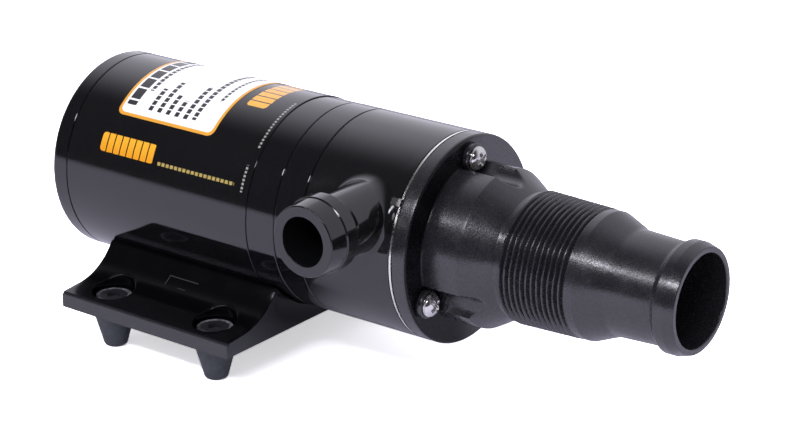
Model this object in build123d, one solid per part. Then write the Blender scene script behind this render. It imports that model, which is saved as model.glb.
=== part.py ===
from build123d import *
import math
import os

# Macerator pump, in millimetres. The origin is on the floor, midway between the four mounting
# holes. +X runs along the shaft towards the inlet, -Y is the outlet's side and +Z is up.

# One radius runs from the front end bell to the inlet's flange
joint_radius = 39.0

# Base and feet
foot_inset_x = 16.3
foot_inset_y = 11.9
foot_height = 15.4
foot_top_radius = 7.75
foot_tip_radius = 4.3
foot_collar_height = 2.8
foot_edge_round = 1.6
foot_bore_radius = 2.6
foot_neck_radius = 5.1
foot_ring_radius = 6.75
foot_ring_thickness = 1.6
foot_neck_clearance = 0.1
base_length = 84.2
base_width = 118.4
base_edge_height = 6.0
base_shelf_width = 9.6
base_shelf_rise = 0.9
base_lip_half_width = 31.4
base_lip_drop = 26.3
base_lip_thickness = 0.7
base_lip_land = 1.0
base_floor = 4.9
base_pocket_floor = 3.5
base_pocket_radius = 8.2
base_rebate = 0.8
saddle_clearance = 0.1
flank_mark_length = 15.0
flank_mark_width = 4.0
flank_mark_depth = 0.5
flank_mark_inset = 22.0
flank_mark_height = 28.0
flank_mark_slope = 38.0
relief_length = 22.0
relief_pitch = 25.5
relief_near = 22.0
relief_far = 37.0
relief_depth = 8.4
base_screw_pitch = 44.0
base_screw_radius = 2.0
base_screw_head_radius = 3.8
base_screw_head_height = 2.0
base_screw_reach = 2.5
base_screw_recess = 0.4
base_screw_slot_share = 0.8
thread_clearance = 0.05

# Motor shell
sleeve_step = 0.3
sleeve_thickness = 0.4
can_wall = 2.0
rear_face_x = -64.6
rear_bell_thickness = 8.0
rear_bell_round = 2.2
rear_bell_seam_round = 0.4
bare_can_length = 13.0
sleeve_rear_gap = 0.5
can_length = 104.4
front_bell_thickness = 12.2
bell_spigot_length = 4.0
bell_spigot_wall = 2.4
bell_fit_clearance = 0.05
bell_seam = 0.5
label_length = 48.5
label_from_can_rear = 18.4
label_half_angle = 47.0
label_thickness = 0.15
label_glue = 0.02
label_corner = 3.0

# Magnets and through bolts
magnet_length = 64.0
magnet_from_can_front = 9.8
magnet_thickness = 7.15
magnet_half_angle = 62.5
through_bolt_radius = 2.0
through_bolt_edge = 3.7
through_bolt_angle = 72.0
through_bolt_head_radius = 3.8
through_bolt_head_height = 2.8
through_bolt_thread = 8.0
through_bolt_sink = 0.3

# Ball bearings
bearing_play = 0.03
bearing_land = 0.65
cage_half_thickness = 0.47
cage_share = 0.72
pocket_clearance = 0.08
rear_bearing_bore = 4.0
rear_bearing_outer = 11.0
rear_bearing_width = 7.0
rear_ball_radius = 1.9
front_bearing_bore = 5.0
front_bearing_outer = 13.0
front_bearing_width = 8.0
front_ball_radius = 2.3
ball_count = 8
rear_pocket_depth = 5.7
rear_boss_wall = 4.0
rear_boss_proud = 0.3
wave_washer_width = 2.6
wave_washer_edge_gap = 0.4
wave_washer_thickness = 0.7
circlip_thickness = 1.2
circlip_groove = 0.6
circlip_width = 2.6
circlip_opening = 50.0
circlip_depth_gap = 0.1
front_bearing_lip = 1.5
front_lip_width = 3.5
front_recess_depth = 8.0
front_recess_inner_wall = 4.0
front_recess_outer_wall = 1.7

# Shaft
shaft_radius = 6.0
shaft_rear_stub = 0.4
cutter_stub_radius = 3.5
snap_ring_thickness = 0.9
snap_ring_radius = 7.2
snap_ring_groove = 0.4
snap_ring_opening = 50.0

# Armature, commutator and brushes
armature_length = 56.0
air_gap = 0.8
slot_count = 12
slot_depth = 9.8
slot_tooth = 2.1
slot_width = 4.8
slot_mouth = 2.2
winding_clearance = 0.2
winding_rear_length = 11.5
winding_front_length = 9.0
winding_under_slot = 2.5
winding_round = 3.0
commutator_radius = 12.5
commutator_length = 12.9
commutator_from_bearing = 2.7
commutator_hub_wall = 3.0
segment_gap = 0.6
riser_length = 1.6
riser_height = 2.0
brush_length = 11.0
brush_width = 8.0
brush_thickness = 5.0
brush_gap = 0.1
brush_clearance = 0.1
brush_from_commutator_rear = 6.0
holder_wall = 0.8
holder_from_commutator = 2.7
holder_length = 17.4
spring_wire_radius = 0.35
spring_side_room = 0.7
spring_turns = 4.0
card_thickness = 2.0
card_edge_gap = 2.9
card_hole_room = 2.0
card_bolt_room = 0.6
card_screw_room = 0.1
card_post_circle = 26.0
card_post_radius = 3.6
card_screw_radius = 1.5
card_screw_head_radius = 2.8
card_screw_head_height = 1.8
card_screw_reach = 5.0
protector_size = (4.0, 13.0, 7.0)
protector_circle = 25.0
protector_angle = 135.0
protector_round = 1.0
lead_hole_radius = 4.5
lead_hole_circle = 26.0
lead_hole_angle = 215.0
lead_bore_radius = 2.6
lead_collar = 1.4

# Pump housing and outlet
housing_length = 40.5
housing_seam = 0.5
chamber_wall = 1.9
chamber_depth = 29.6
cam_rise = 2.2
slinger_room_radius = 14.0
slinger_room_depth = 3.9
drain_radius = 2.0
drain_wall = 0.9
seal_radius = 11.0
seal_length = 6.0
seal_lip_width = 2.5
seal_wall = 1.6
seal_lip_root_share = 1.8
seal_back_share = 1.5
seal_clearance = 0.05
port_from_chamber_end = 5.3
port_from_chamber_top = 4.2
port_reach = 67.2
port_wall = 3.1
port_neck_drop = 2.0
port_neck_reach = 50.8
port_crest_radius = 14.1
port_crest_start = 54.0
port_crest_length = 5.2
port_crest_step = 0.45
port_tip_drop = 1.1
port_tip_bevel = 0.5
port_blend = 3.0

# Impeller
impeller_tip_clearance = 0.4
impeller_side_clearance = 0.5
impeller_hub_wall = 3.5
impeller_vanes = 6
vane_thickness = 2.8
vane_bulb_radius = 2.0
insert_wall = 3.0
drive_pin_radius = 1.5
drive_pin_inset = 0.5
slinger_edge_room = 3.0
slinger_thickness = 1.5
slinger_from_housing = 1.3
running_clearance = 0.03

# Wear plate and gaskets
housing_gasket_thickness = 0.4
wear_plate_thickness = 0.8
inlet_gasket_thickness = 0.3
gasket_inset = 0.5
plate_hole_room = 1.2
plate_port_inner = 12.0
plate_port_edge = 1.0
plate_port_start = 112.0
plate_port_span = 56.0
plate_tab_angle = 34.0
plate_tab_width = 2.8
plate_tab_reach = 3.4
plate_tab_rise = 0.8
plate_tab_root = 2.0

# Inlet housing
flange_thickness = 5.9
flange_round = 1.5
body_wall = 7.5
body_length = 15.4
shoulder_length = 11.0
collar_drop = 1.4
collar_length = 2.0
thread_length = 28.0
thread_pitch = 2.209
thread_depth = 1.6
thread_crest_radius = 24.4
thread_taper = 1 / 32
thread_crest_flat = 0.3
band_drop = 1.1
band_bevel = 0.6
band_length = 3.0
neck_length = 9.8
barb_root_drop = 1.0
barb_length = 16.5
barb_end_drop = 1.8
barb_step_length = 2.4
barb_crest_radius = 20.2
barb_crest_length = 4.5
barb_nose_length = 4.3
barb_nose_drop = 1.2
barb_wall = 1.5
mouth_chamfer = 0.5
cutter_room_radius = 22.0
cutter_room_length = 24.0
cutter_room_taper = 7.0
boss_margin = 1.0
boss_height = 2.4
boss_chamfer = 0.5
channel_margin = 1.3
channel_length = 30.0

# Cover screws
cover_screw_edge = 7.3
cover_screw_angles = (90.0, 210.0, 330.0)
cover_screw_radius = 2.0
cover_screw_clearance = 0.3
cover_screw_head_radius = 4.3
cover_screw_head_height = 3.0
cover_screw_head_round = 1.6
cover_screw_thread = 9.0
driver_slot_width = 1.0
driver_slot_length = 4.8
driver_slot_depth = 1.8

# Cutter
cutter_gap = 0.9
cutter_thickness = 2.0
cutter_tip_gap = 1.5
cutter_width = 9.0
cutter_hub_margin = 2.0
cutter_bevel = 1.2
lock_washer_width = 2.5
lock_washer_thickness = 1.2
nut_wall = 2.0
nut_length = 5.5
stub_past_nut = 0.8

# Worked out from the sizes above
overlap = 1.0
bell_radius = joint_radius
housing_radius = joint_radius
flange_radius = joint_radius
sleeve_radius = joint_radius + sleeve_step
axis_height = foot_height + base_floor + saddle_clearance + sleeve_radius
foot_pitch_x = base_length - 2 * foot_inset_x
foot_pitch_y = base_width - 2 * foot_inset_y
base_lip_height = axis_height - base_lip_drop
base_lip_top = base_lip_height + base_lip_thickness
base_top = foot_height + base_edge_height
base_pocket_z = foot_height + base_pocket_floor
motor_bottom = axis_height - sleeve_radius
can_radius = sleeve_radius - sleeve_thickness
can_inner = can_radius - can_wall
can_rear_x = rear_face_x + rear_bell_thickness
can_front_x = can_rear_x + can_length
sleeve_front_x = can_front_x - bare_can_length
label_centre_x = can_rear_x + label_from_can_rear + label_length / 2
spigot_radius = can_inner - bell_fit_clearance
spigot_inner = spigot_radius - bell_spigot_wall
through_bolt_circle = can_inner - through_bolt_edge
bell_front_x = can_front_x + front_bell_thickness
housing_front_x = bell_front_x + housing_length
plate_rear_x = housing_front_x + housing_gasket_thickness
plate_front_x = plate_rear_x + wear_plate_thickness
flange_rear_x = plate_front_x + inlet_gasket_thickness
flange_front_x = flange_rear_x + flange_thickness
boss_face_x = flange_front_x + boss_height
cover_screw_circle = flange_radius - cover_screw_edge
cover_screw_hole = cover_screw_radius + cover_screw_clearance
boss_radius = cover_screw_head_radius + boss_margin
channel_radius = boss_radius + channel_margin
chamber_radius = cover_screw_circle - cover_screw_hole - chamber_wall
chamber_rear_x = housing_front_x - chamber_depth
seal_rear_x = chamber_rear_x - seal_length
seal_lip_radius = seal_radius - seal_lip_width
port_neck_radius = port_crest_radius - port_neck_drop
port_crest_end = port_crest_start + port_crest_length
port_tip_radius = port_crest_radius - port_tip_drop
port_bore_radius = port_neck_radius - port_wall
port_x = chamber_rear_x + port_bore_radius + port_from_chamber_end
port_rise = chamber_radius - port_bore_radius - port_from_chamber_top
rear_pocket_x = rear_face_x + rear_pocket_depth
rear_bearing_x = rear_pocket_x + wave_washer_thickness
rear_bearing_end = rear_bearing_x + rear_bearing_width
front_bearing_end = bell_front_x - front_bearing_lip
front_bearing_x = front_bearing_end - front_bearing_width
front_lip_radius = front_bearing_outer - front_lip_width
front_recess_inner = front_bearing_outer + front_recess_inner_wall
front_recess_outer = cover_screw_circle - cover_screw_radius - front_recess_outer_wall
circlip_x = front_bearing_x - circlip_thickness
magnet_outer = can_inner - bell_fit_clearance
magnet_inner = magnet_outer - magnet_thickness
magnet_centre_x = can_front_x - magnet_from_can_front - magnet_length / 2
core_radius = magnet_inner - air_gap
core_rear_x = magnet_centre_x - armature_length / 2
core_front_x = magnet_centre_x + armature_length / 2
slot_outer = core_radius - slot_tooth
slot_inner = slot_outer - slot_depth
winding_inner = slot_inner - winding_under_slot
commutator_rear_x = rear_bearing_end + commutator_from_bearing
commutator_end = commutator_rear_x + commutator_length
commutator_hub_radius = shaft_radius + commutator_hub_wall
riser_radius = commutator_radius + riser_height
brush_x = commutator_rear_x + brush_from_commutator_rear
brush_inner = commutator_radius + brush_gap
spring_coil_radius = brush_thickness / 2 - spring_side_room
holder_half_x = brush_width / 2 + brush_clearance + holder_wall
holder_half_y = brush_thickness / 2 + brush_clearance + holder_wall
holder_inner = commutator_radius + holder_from_commutator
holder_outer = holder_inner + holder_length
card_radius = can_inner - card_edge_gap
card_hole_radius = riser_radius + card_hole_room
card_front_x = brush_x - holder_half_x
card_rear_x = card_front_x - card_thickness
impeller_rear_x = chamber_rear_x + impeller_side_clearance
impeller_front_x = housing_front_x - impeller_side_clearance
impeller_middle_x = (impeller_rear_x + impeller_front_x) / 2
impeller_radius = chamber_radius - cam_rise - impeller_tip_clearance
insert_radius = front_bearing_bore + insert_wall
impeller_hub_radius = insert_radius + impeller_hub_wall
drive_pin_length = 2 * (insert_radius - drive_pin_inset)
slinger_radius = slinger_room_radius - slinger_edge_room
plate_hole_radius = front_bearing_bore + plate_hole_room
plate_port_outer = cutter_room_radius - plate_port_edge
cutter_rear_x = plate_front_x + cutter_gap
cutter_front_x = cutter_rear_x + cutter_thickness
cutter_radius = cutter_room_radius - cutter_tip_gap
lock_washer_radius = cutter_stub_radius + lock_washer_width
cutter_hub_radius = lock_washer_radius + cutter_hub_margin
nut_across_flats = 2 * (cutter_stub_radius + nut_wall)
nut_rear_x = cutter_front_x + lock_washer_thickness
nut_front_x = nut_rear_x + nut_length
body_radius = cutter_room_radius + body_wall
body_front_x = flange_front_x + body_length
collar_x = body_front_x + shoulder_length
collar_radius = thread_crest_radius - collar_drop
band_radius = thread_crest_radius - band_drop
thread_x = collar_x + collar_length
thread_end_x = thread_x + thread_length
band_end_x = thread_end_x + band_length
barb_x = band_end_x + neck_length
barb_root_radius = barb_crest_radius - barb_root_drop
barb_end_radius = barb_crest_radius - barb_end_drop
barb_nose_radius = barb_crest_radius - barb_nose_drop
inlet_bore_radius = barb_end_radius - barb_wall
barb_step_x = barb_x + barb_length
crest_x = barb_step_x + barb_step_length
crest_end_x = crest_x + barb_crest_length
mouth_x = crest_end_x + barb_nose_length


def turned(outline):
    """Solid turned about the shaft's line from points of (x, radius)."""
    face = make_face(Polyline(*outline, close=True))
    return Pos(0, 0, axis_height) * revolve(face, Axis.X, 360)


def rod(radius, start_x, end_x, circle=0.0, angle=0.0):
    """Cylinder along X at a distance and an angle from the shaft, with 0 at -Y and 90 on top."""
    across, up = polar(circle, angle)
    place = Pos((start_x + end_x) / 2, across, axis_height + up)
    return place * Rot(0, 90, 0) * Cylinder(radius, end_x - start_x)


def ring(outer, inner, start_x, end_x):
    """Plain ring about the shaft's line."""
    return turned([(start_x, inner), (end_x, inner), (end_x, outer), (start_x, outer)])


def polar(circle, angle):
    """Y and Z offsets of a point on a circle about the shaft."""
    turn = math.radians(angle)
    return -circle * math.cos(turn), circle * math.sin(turn)


def about_shaft(shape, angle):
    """Turns a shape built at the -Y side by an angle towards the top."""
    return Pos(0, 0, axis_height) * Rot(-angle, 0, 0) * Pos(0, 0, -axis_height) * shape


def sector(outer, inner, start_x, end_x, start_angle, span):
    """Part of a ring between two angles, as an arc of a magnet is."""
    face = Pos(0, (outer + inner) / 2) * Rectangle(end_x - start_x, outer - inner)
    face = Pos((start_x + end_x) / 2, 0) * face
    solid = revolve(face, Axis.X, span)
    return Pos(0, 0, axis_height) * Rot(180 - start_angle - span, 0, 0) * solid


def foot_places():
    """Centres of the four feet, front left first."""
    return [(sx * foot_pitch_x / 2, sy * foot_pitch_y / 2) for sy in (-1, 1) for sx in (-1, 1)]


def base_screw_places():
    """Centres of the two screws that hold the base to the motor."""
    return [-base_screw_pitch / 2, base_screw_pitch / 2]


def rubber_foot(place):
    """Tapered foot with a neck and a ring that grips the base, bored for a screw."""
    neck_top = base_pocket_z
    ring_top = neck_top + foot_ring_thickness
    outline = [
        (foot_bore_radius, 0),
        (foot_tip_radius, 0),
        (foot_top_radius, foot_height - foot_collar_height),
        (foot_top_radius, foot_height),
        (foot_neck_radius, foot_height),
        (foot_neck_radius, neck_top),
        (foot_ring_radius, neck_top),
        (foot_ring_radius, ring_top),
        (foot_bore_radius, ring_top),
    ]
    face = Plane.XZ * make_face(Polyline(*outline, close=True))
    foot = revolve(face, Axis.Z, 360)
    tip_edge = foot.edges().filter_by(GeomType.CIRCLE).group_by(Axis.Z)[0].sort_by(SortBy.RADIUS)[-1]
    foot = fillet(tip_edge, foot_edge_round)
    return Pos(place[0], place[1], 0) * foot


def base_section():
    """Half section of the base on the -Y side, as a face in the YZ plane."""
    edge = -base_width / 2
    shelf = (edge + base_shelf_width, base_top + base_shelf_rise)
    lip = (-base_lip_half_width, base_lip_height)
    direction = (base_shelf_width, base_shelf_rise)
    outline = [
        Line((0, foot_height), (edge, foot_height)),
        Line((edge, foot_height), (edge, base_top)),
        Line((edge, base_top), shelf),
        TangentArc(shelf, lip, tangent=direction),
        Line(lip, (lip[0] + base_lip_land, base_lip_top)),
        Line((lip[0] + base_lip_land, base_lip_top), (0, base_lip_top)),
        Line((0, base_lip_top), (0, foot_height)),
    ]
    return Plane.YZ * make_face(Wire(outline))


def mounting_base():
    """Saddle that carries the motor, with pockets for the feet and reliefs underneath."""
    half = extrude(base_section(), base_length / 2, both=True)
    base = half + mirror(half, Plane.XZ)
    base -= rod(sleeve_radius + saddle_clearance, -base_length, base_length)
    for side in (-1, 1):
        rebate = Box(base_length, 2 * base_rebate, 2 * base_rebate)
        base -= Pos(0, side * base_width / 2, base_top) * rebate
        tilt = Rot(-side * flank_mark_slope, 0, 0)
        mark = Box(flank_mark_length, flank_mark_width, 2 * flank_mark_depth)
        base -= Pos(0, side * (base_width / 2 - flank_mark_inset), flank_mark_height) * tilt * mark
        for step in (-1, 0, 1):
            relief_width = relief_far - relief_near
            relief = Box(relief_length, relief_width, 2 * relief_depth)
            middle = side * (relief_near + relief_width / 2)
            base -= Pos(step * relief_pitch, middle, foot_height) * relief
    pocket_height = base_lip_height
    for x, y in foot_places():
        base -= Pos(x, y, base_pocket_z + pocket_height / 2) * Cylinder(base_pocket_radius, pocket_height)
        base -= Pos(x, y, base_pocket_z) * Cylinder(foot_neck_radius + foot_neck_clearance, pocket_height)
    for x in base_screw_places():
        base -= base_screw_hole(x)
    return base


def base_screw_shape(x, grown):
    """Countersunk screw from under the base into the motor can, or its hole when grown."""
    head = base_screw_head_radius + grown
    shank = base_screw_radius + grown
    low = foot_height + base_screw_recess - grown
    top = motor_bottom + sleeve_thickness + can_wall + base_screw_reach
    outline = [
        (0, low),
        (head, low),
        (shank, low + base_screw_head_height),
        (shank, top + grown),
        (0, top + grown),
    ]
    face = Plane.XZ * make_face(Polyline(*outline, close=True))
    return Pos(x, 0, 0) * revolve(face, Axis.Z, 360)


def base_screw_hole(x):
    """Countersink and hole for a base screw, open to the underside."""
    mouth = Pos(x, 0, foot_height) * Cylinder(base_screw_head_radius + thread_clearance, overlap)
    return base_screw_shape(x, thread_clearance) + mouth


def base_screws():
    """The two screws, each with a cross recess."""
    screws = []
    for x in base_screw_places():
        share = base_screw_slot_share
        cross = driver_cross(driver_slot_length * share, base_screw_recess + driver_slot_depth / 3)
        recess = Pos(x, 0, foot_height + base_screw_recess) * cross
        screws.append(base_screw_shape(x, 0.0) - recess)
    return Compound(children=screws)


def driver_cross(length, depth):
    """Cross for a screwdriver, centred on the XY plane and twice as deep as the recess."""
    bar = Box(length, driver_slot_width, 2 * depth)
    return bar + Rot(0, 0, 90) * bar


def motor_can():
    """Steel tube that holds the magnets, with two holes for the base screws."""
    can = ring(can_radius, can_inner, can_rear_x, can_front_x)
    for x in base_screw_places():
        can -= base_screw_hole(x)
    return can


def label_sleeve():
    """Thin printed wrap round the can."""
    sleeve = ring(sleeve_radius, can_radius, can_rear_x + sleeve_rear_gap, sleeve_front_x)
    for x in base_screw_places():
        sleeve -= base_screw_hole(x)
    return sleeve


def label_panel():
    """Rounded panel on top of the wrap, bent to its curve."""
    skin = ring(
        sleeve_radius + label_glue + label_thickness,
        sleeve_radius + label_glue,
        label_centre_x - label_length / 2,
        label_centre_x + label_length / 2,
    )
    width = 2 * sleeve_radius * math.sin(math.radians(label_half_angle))
    outline = RectangleRounded(label_length, width, label_corner)
    column = extrude(outline, sleeve_radius + overlap)
    return skin & (Pos(label_centre_x, 0, axis_height) * column)


def through_bolt_hole(radius, start_x, end_x):
    """Pair of holes for the two long bolts."""
    near = rod(radius, start_x, end_x, through_bolt_circle, through_bolt_angle)
    far = rod(radius, start_x, end_x, through_bolt_circle, through_bolt_angle + 180)
    return near + far


def rear_end_bell():
    """Rear cover with a bearing pocket, a spigot into the can and posts for the brush card."""
    bell = ring(sleeve_radius, 0, rear_face_x, can_rear_x)
    rear_edge = bell.edges().filter_by(GeomType.CIRCLE).sort_by(Axis.X)[0]
    bell = fillet(rear_edge, rear_bell_round)
    seam_edge = bell.edges().filter_by(GeomType.CIRCLE).sort_by(Axis.X)[-1]
    bell = fillet(seam_edge, rear_bell_seam_round)
    bell += ring(spigot_radius, spigot_inner, can_rear_x - overlap, can_rear_x + bell_spigot_length)
    carrier_radius = rear_bearing_outer + rear_boss_wall
    bell += rod(carrier_radius, can_rear_x - overlap, rear_bearing_end + rear_boss_proud)
    for angle in (0, 180):
        bell += rod(card_post_radius, can_rear_x - overlap, card_rear_x, card_post_circle, angle)
        screw_start = card_rear_x - card_screw_reach
        bell -= rod(card_screw_radius, screw_start, card_rear_x + overlap, card_post_circle, angle)
    bell -= rod(rear_bearing_outer, rear_pocket_x, rear_bearing_end + overlap)
    hole = through_bolt_radius + thread_clearance
    bell -= through_bolt_hole(hole, rear_face_x - overlap, can_rear_x + bell_spigot_length + overlap)
    head_seat = rear_face_x + through_bolt_head_height
    head_hole = through_bolt_head_radius + through_bolt_sink
    bell -= through_bolt_hole(head_hole, rear_face_x - overlap, head_seat)
    hole_end = can_rear_x + overlap
    bell -= rod(lead_hole_radius, rear_face_x - overlap, hole_end, lead_hole_circle, lead_hole_angle)
    return bell


def lead_grommet():
    """Rubber grommet where the two leads would leave the rear cover."""
    outer = lead_hole_radius + lead_collar
    parts = rod(lead_hole_radius, rear_face_x, can_rear_x, lead_hole_circle, lead_hole_angle)
    parts += rod(outer, rear_face_x - lead_collar, rear_face_x, lead_hole_circle, lead_hole_angle)
    parts += rod(outer, can_rear_x, can_rear_x + lead_collar, lead_hole_circle, lead_hole_angle)
    start = rear_face_x - 2 * lead_collar
    end = can_rear_x + 2 * lead_collar
    return parts - rod(lead_bore_radius, start, end, lead_hole_circle, lead_hole_angle)


def front_end_bell():
    """Front cover with the main bearing's pocket and threads for all the long screws."""
    bell = ring(bell_radius, 0, can_front_x, bell_front_x)
    bell += ring(spigot_radius, spigot_inner, can_front_x - bell_spigot_length, can_front_x + overlap)
    recess_end = can_front_x + front_recess_depth
    bell -= ring(front_recess_outer, front_recess_inner, can_front_x - overlap, recess_end)
    bell -= rod(front_bearing_outer, can_front_x - overlap, front_bearing_end)
    bell -= rod(front_lip_radius, can_front_x, bell_front_x + overlap)
    groove_outer = front_bearing_outer + circlip_groove
    bell -= ring(groove_outer, front_bearing_outer - overlap, circlip_x, front_bearing_x)
    screw_hole = cover_screw_radius + thread_clearance
    start = bell_front_x - cover_screw_thread - overlap
    for angle in cover_screw_angles:
        bell -= rod(screw_hole, start, bell_front_x + overlap, cover_screw_circle, angle)
    bolt_end = can_front_x + through_bolt_thread + thread_clearance
    spigot_x = can_front_x - bell_spigot_length
    bell -= through_bolt_hole(through_bolt_radius + thread_clearance, spigot_x - overlap, bolt_end)
    seam_end = can_front_x + bell_seam
    seam = ring(bell_radius + overlap, bell_radius - bell_seam, can_front_x - overlap, seam_end)
    return bell - seam


def through_bolts():
    """Two long bolts that clamp the end covers on the can."""
    head_x = rear_face_x + through_bolt_sink
    head_seat = rear_face_x + through_bolt_head_height
    bolts = []
    for angle in (through_bolt_angle, through_bolt_angle + 180):
        end = can_front_x + through_bolt_thread
        bolt = rod(through_bolt_radius, head_x, end, through_bolt_circle, angle)
        head = rod(through_bolt_head_radius, head_x, head_seat, through_bolt_circle, angle)
        across, up = polar(through_bolt_circle, angle)
        cross = Rot(0, 90, 0) * driver_cross(driver_slot_length, driver_slot_depth)
        recess = Pos(head_x, across, axis_height + up) * cross
        bolts.append(bolt + head - recess)
    return Compound(children=bolts)


def magnets():
    """Two curved magnets, one on each side of the can."""
    start_x = magnet_centre_x - magnet_length / 2
    end_x = magnet_centre_x + magnet_length / 2
    span = 2 * magnet_half_angle
    arcs = []
    for middle in (0, 180):
        start = middle - magnet_half_angle
        arcs.append(sector(magnet_outer, magnet_inner, start_x, end_x, start, span))
    return Compound(children=arcs)


def bearing_parts(start_x, bore, outer, width, ball_radius):
    """Outer ring, inner ring, balls and cage of a deep-groove ball bearing."""
    pitch = (bore + outer) / 2
    middle_x = start_x + width / 2
    end_x = start_x + width
    groove = Pos(middle_x, 0, axis_height) * Rot(0, 90, 0) * Torus(pitch, ball_radius + bearing_play)
    land = ball_radius * bearing_land
    outer_ring = ring(outer, pitch + land, start_x, end_x) - groove
    inner_ring = ring(pitch - land, bore, start_x, end_x) - groove
    half = ball_radius * cage_half_thickness
    cage_half_width = width * cage_share / 2
    cage = ring(pitch + half, pitch - half, middle_x - cage_half_width, middle_x + cage_half_width)
    balls = []
    for step in range(ball_count):
        across, up = polar(pitch, step * 360 / ball_count)
        place = Pos(middle_x, across, axis_height + up)
        cage -= place * Sphere(ball_radius + pocket_clearance)
        balls.append(place * Sphere(ball_radius))
    return outer_ring, inner_ring, Compound(children=balls), cage


def wave_washer():
    """Thin spring washer that preloads the rear bearing."""
    outer = rear_bearing_outer - wave_washer_edge_gap
    return ring(outer, outer - wave_washer_width, rear_pocket_x, rear_bearing_x)


def front_bearing_circlip():
    """Open spring ring in the groove behind the main bearing."""
    outer = front_bearing_outer + circlip_groove - circlip_depth_gap
    span = 360 - circlip_opening
    start = 90 + circlip_opening / 2
    return sector(outer, outer - circlip_width, circlip_x, front_bearing_x, start, span)


def shaft():
    """Motor shaft that also carries the impeller and the cutter."""
    start = rear_bearing_x - shaft_rear_stub
    body = rod(rear_bearing_bore, start, rear_bearing_end)
    body += rod(shaft_radius, rear_bearing_end, front_bearing_x)
    body += rod(front_bearing_bore, front_bearing_x, cutter_rear_x)
    body += rod(cutter_stub_radius, cutter_rear_x, nut_front_x + stub_past_nut)
    groove_end = front_bearing_end + snap_ring_thickness
    groove_inner = front_bearing_bore - snap_ring_groove
    body -= ring(front_bearing_bore + overlap, groove_inner, front_bearing_end, groove_end)
    return body - drive_pin_hole(drive_pin_radius)


def drive_pin_hole(radius):
    """Cross hole through the shaft and the impeller's insert."""
    place = Pos(impeller_middle_x, 0, axis_height)
    return place * Rot(90, 0, 0) * Cylinder(radius, drive_pin_length)


def shaft_snap_ring():
    """Open ring that keeps the shaft in the main bearing."""
    inner = front_bearing_bore - snap_ring_groove
    end_x = front_bearing_end + snap_ring_thickness
    span = 360 - snap_ring_opening
    start = 90 + snap_ring_opening / 2
    return sector(snap_ring_radius, inner, front_bearing_end, end_x, start, span)


def slot_cut():
    """One armature slot at the top."""
    height = slot_outer - slot_inner
    length = armature_length + 2 * overlap
    middle = (slot_outer + slot_inner) / 2
    return Pos(magnet_centre_x, 0, axis_height + middle) * Box(length, slot_width, height)


def slot_mouth_cut():
    """Narrow opening from a slot to the core's surface."""
    height = core_radius - slot_outer + 2 * overlap
    middle = slot_outer - overlap + height / 2
    place = Pos(magnet_centre_x, 0, axis_height + middle)
    return place * Box(armature_length + 2 * overlap, slot_mouth, height)


def armature_core():
    """Laminated core with slots for the windings."""
    core = ring(core_radius, shaft_radius, core_rear_x, core_front_x)
    cut = slot_cut() + slot_mouth_cut()
    for step in range(slot_count):
        core -= about_shaft(cut, step * 360 / slot_count)
    return core


def end_turn(start_x, end_x):
    """Rounded bundle of wire at one end of the core."""
    bundle = ring(slot_outer, winding_inner, start_x, end_x)
    edges = bundle.edges().filter_by(GeomType.CIRCLE)
    return fillet(edges, winding_round)


def armature_windings():
    """Copper windings: a bundle at each end and a bar in every slot."""
    rear_start = core_rear_x - winding_clearance - winding_rear_length
    front_end = core_front_x + winding_clearance + winding_front_length
    winding = end_turn(rear_start, core_rear_x - winding_clearance)
    winding += end_turn(core_front_x + winding_clearance, front_end)
    bar_width = slot_width - 2 * winding_clearance
    bar_height = slot_outer - slot_inner - 2 * winding_clearance
    bar_length = armature_length + 2 * winding_clearance + 2 * winding_round
    middle = (slot_outer + slot_inner) / 2
    bar = Pos(magnet_centre_x, 0, axis_height + middle) * Box(bar_length, bar_width, bar_height)
    for step in range(slot_count):
        winding += about_shaft(bar, step * 360 / slot_count)
    return winding


def commutator_hub():
    """Moulded hub that carries the commutator's segments."""
    return ring(commutator_hub_radius, shaft_radius, commutator_rear_x, commutator_end)


def commutator_segments():
    """Copper segments with risers towards the windings."""
    riser_x = commutator_end - riser_length
    outline = [
        (commutator_rear_x, commutator_hub_radius),
        (commutator_end, commutator_hub_radius),
        (commutator_end, riser_radius),
        (riser_x, riser_radius),
        (riser_x, commutator_radius),
        (commutator_rear_x, commutator_radius),
    ]
    copper = turned(outline)
    reach = riser_radius + overlap
    gap = Pos(brush_x, 0, axis_height + reach / 2) * Box(4 * commutator_length, segment_gap, reach)
    for step in range(slot_count):
        copper -= about_shaft(gap, step * 360 / slot_count)
    return copper


def brush(side):
    """Carbon block hollowed to the commutator's curve."""
    middle = side * (brush_inner + brush_length / 2)
    extra = brush_inner / 2
    height = brush_length + extra
    block = Box(brush_width, brush_thickness, height)
    block = Pos(brush_x, 0, axis_height + middle - side * extra / 2) * block
    return block - rod(brush_inner, brush_x - brush_width, brush_x + brush_width)


def brush_spring(side):
    """Coil spring between the brush and the closed end of its holder."""
    start = brush_inner + brush_length + spring_wire_radius
    end = holder_outer - holder_wall - spring_wire_radius
    height = end - start
    path = Helix(height / spring_turns, height, spring_coil_radius)
    wire = Plane(path @ 0, z_dir=path % 0) * Circle(spring_wire_radius)
    coil = sweep(wire, path=path)
    turn = Rot(0, 0, 0) if side > 0 else Rot(180, 0, 0)
    return Pos(brush_x, 0, axis_height + side * start) * turn * coil


def brush_holders():
    """Two brass boxes, closed at their outer ends, that guide the brushes."""
    boxes = []
    for side in (1, -1):
        middle = side * (holder_inner + holder_outer) / 2
        shell = Box(2 * holder_half_x, 2 * holder_half_y, holder_length)
        shell = Pos(brush_x, 0, axis_height + middle) * shell
        room_x = brush_width + 2 * brush_clearance
        room_y = brush_thickness + 2 * brush_clearance
        room = Box(room_x, room_y, holder_length)
        room = Pos(brush_x, 0, axis_height + middle - side * holder_wall) * room
        boxes.append(shell - room)
    return Compound(children=boxes)


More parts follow.
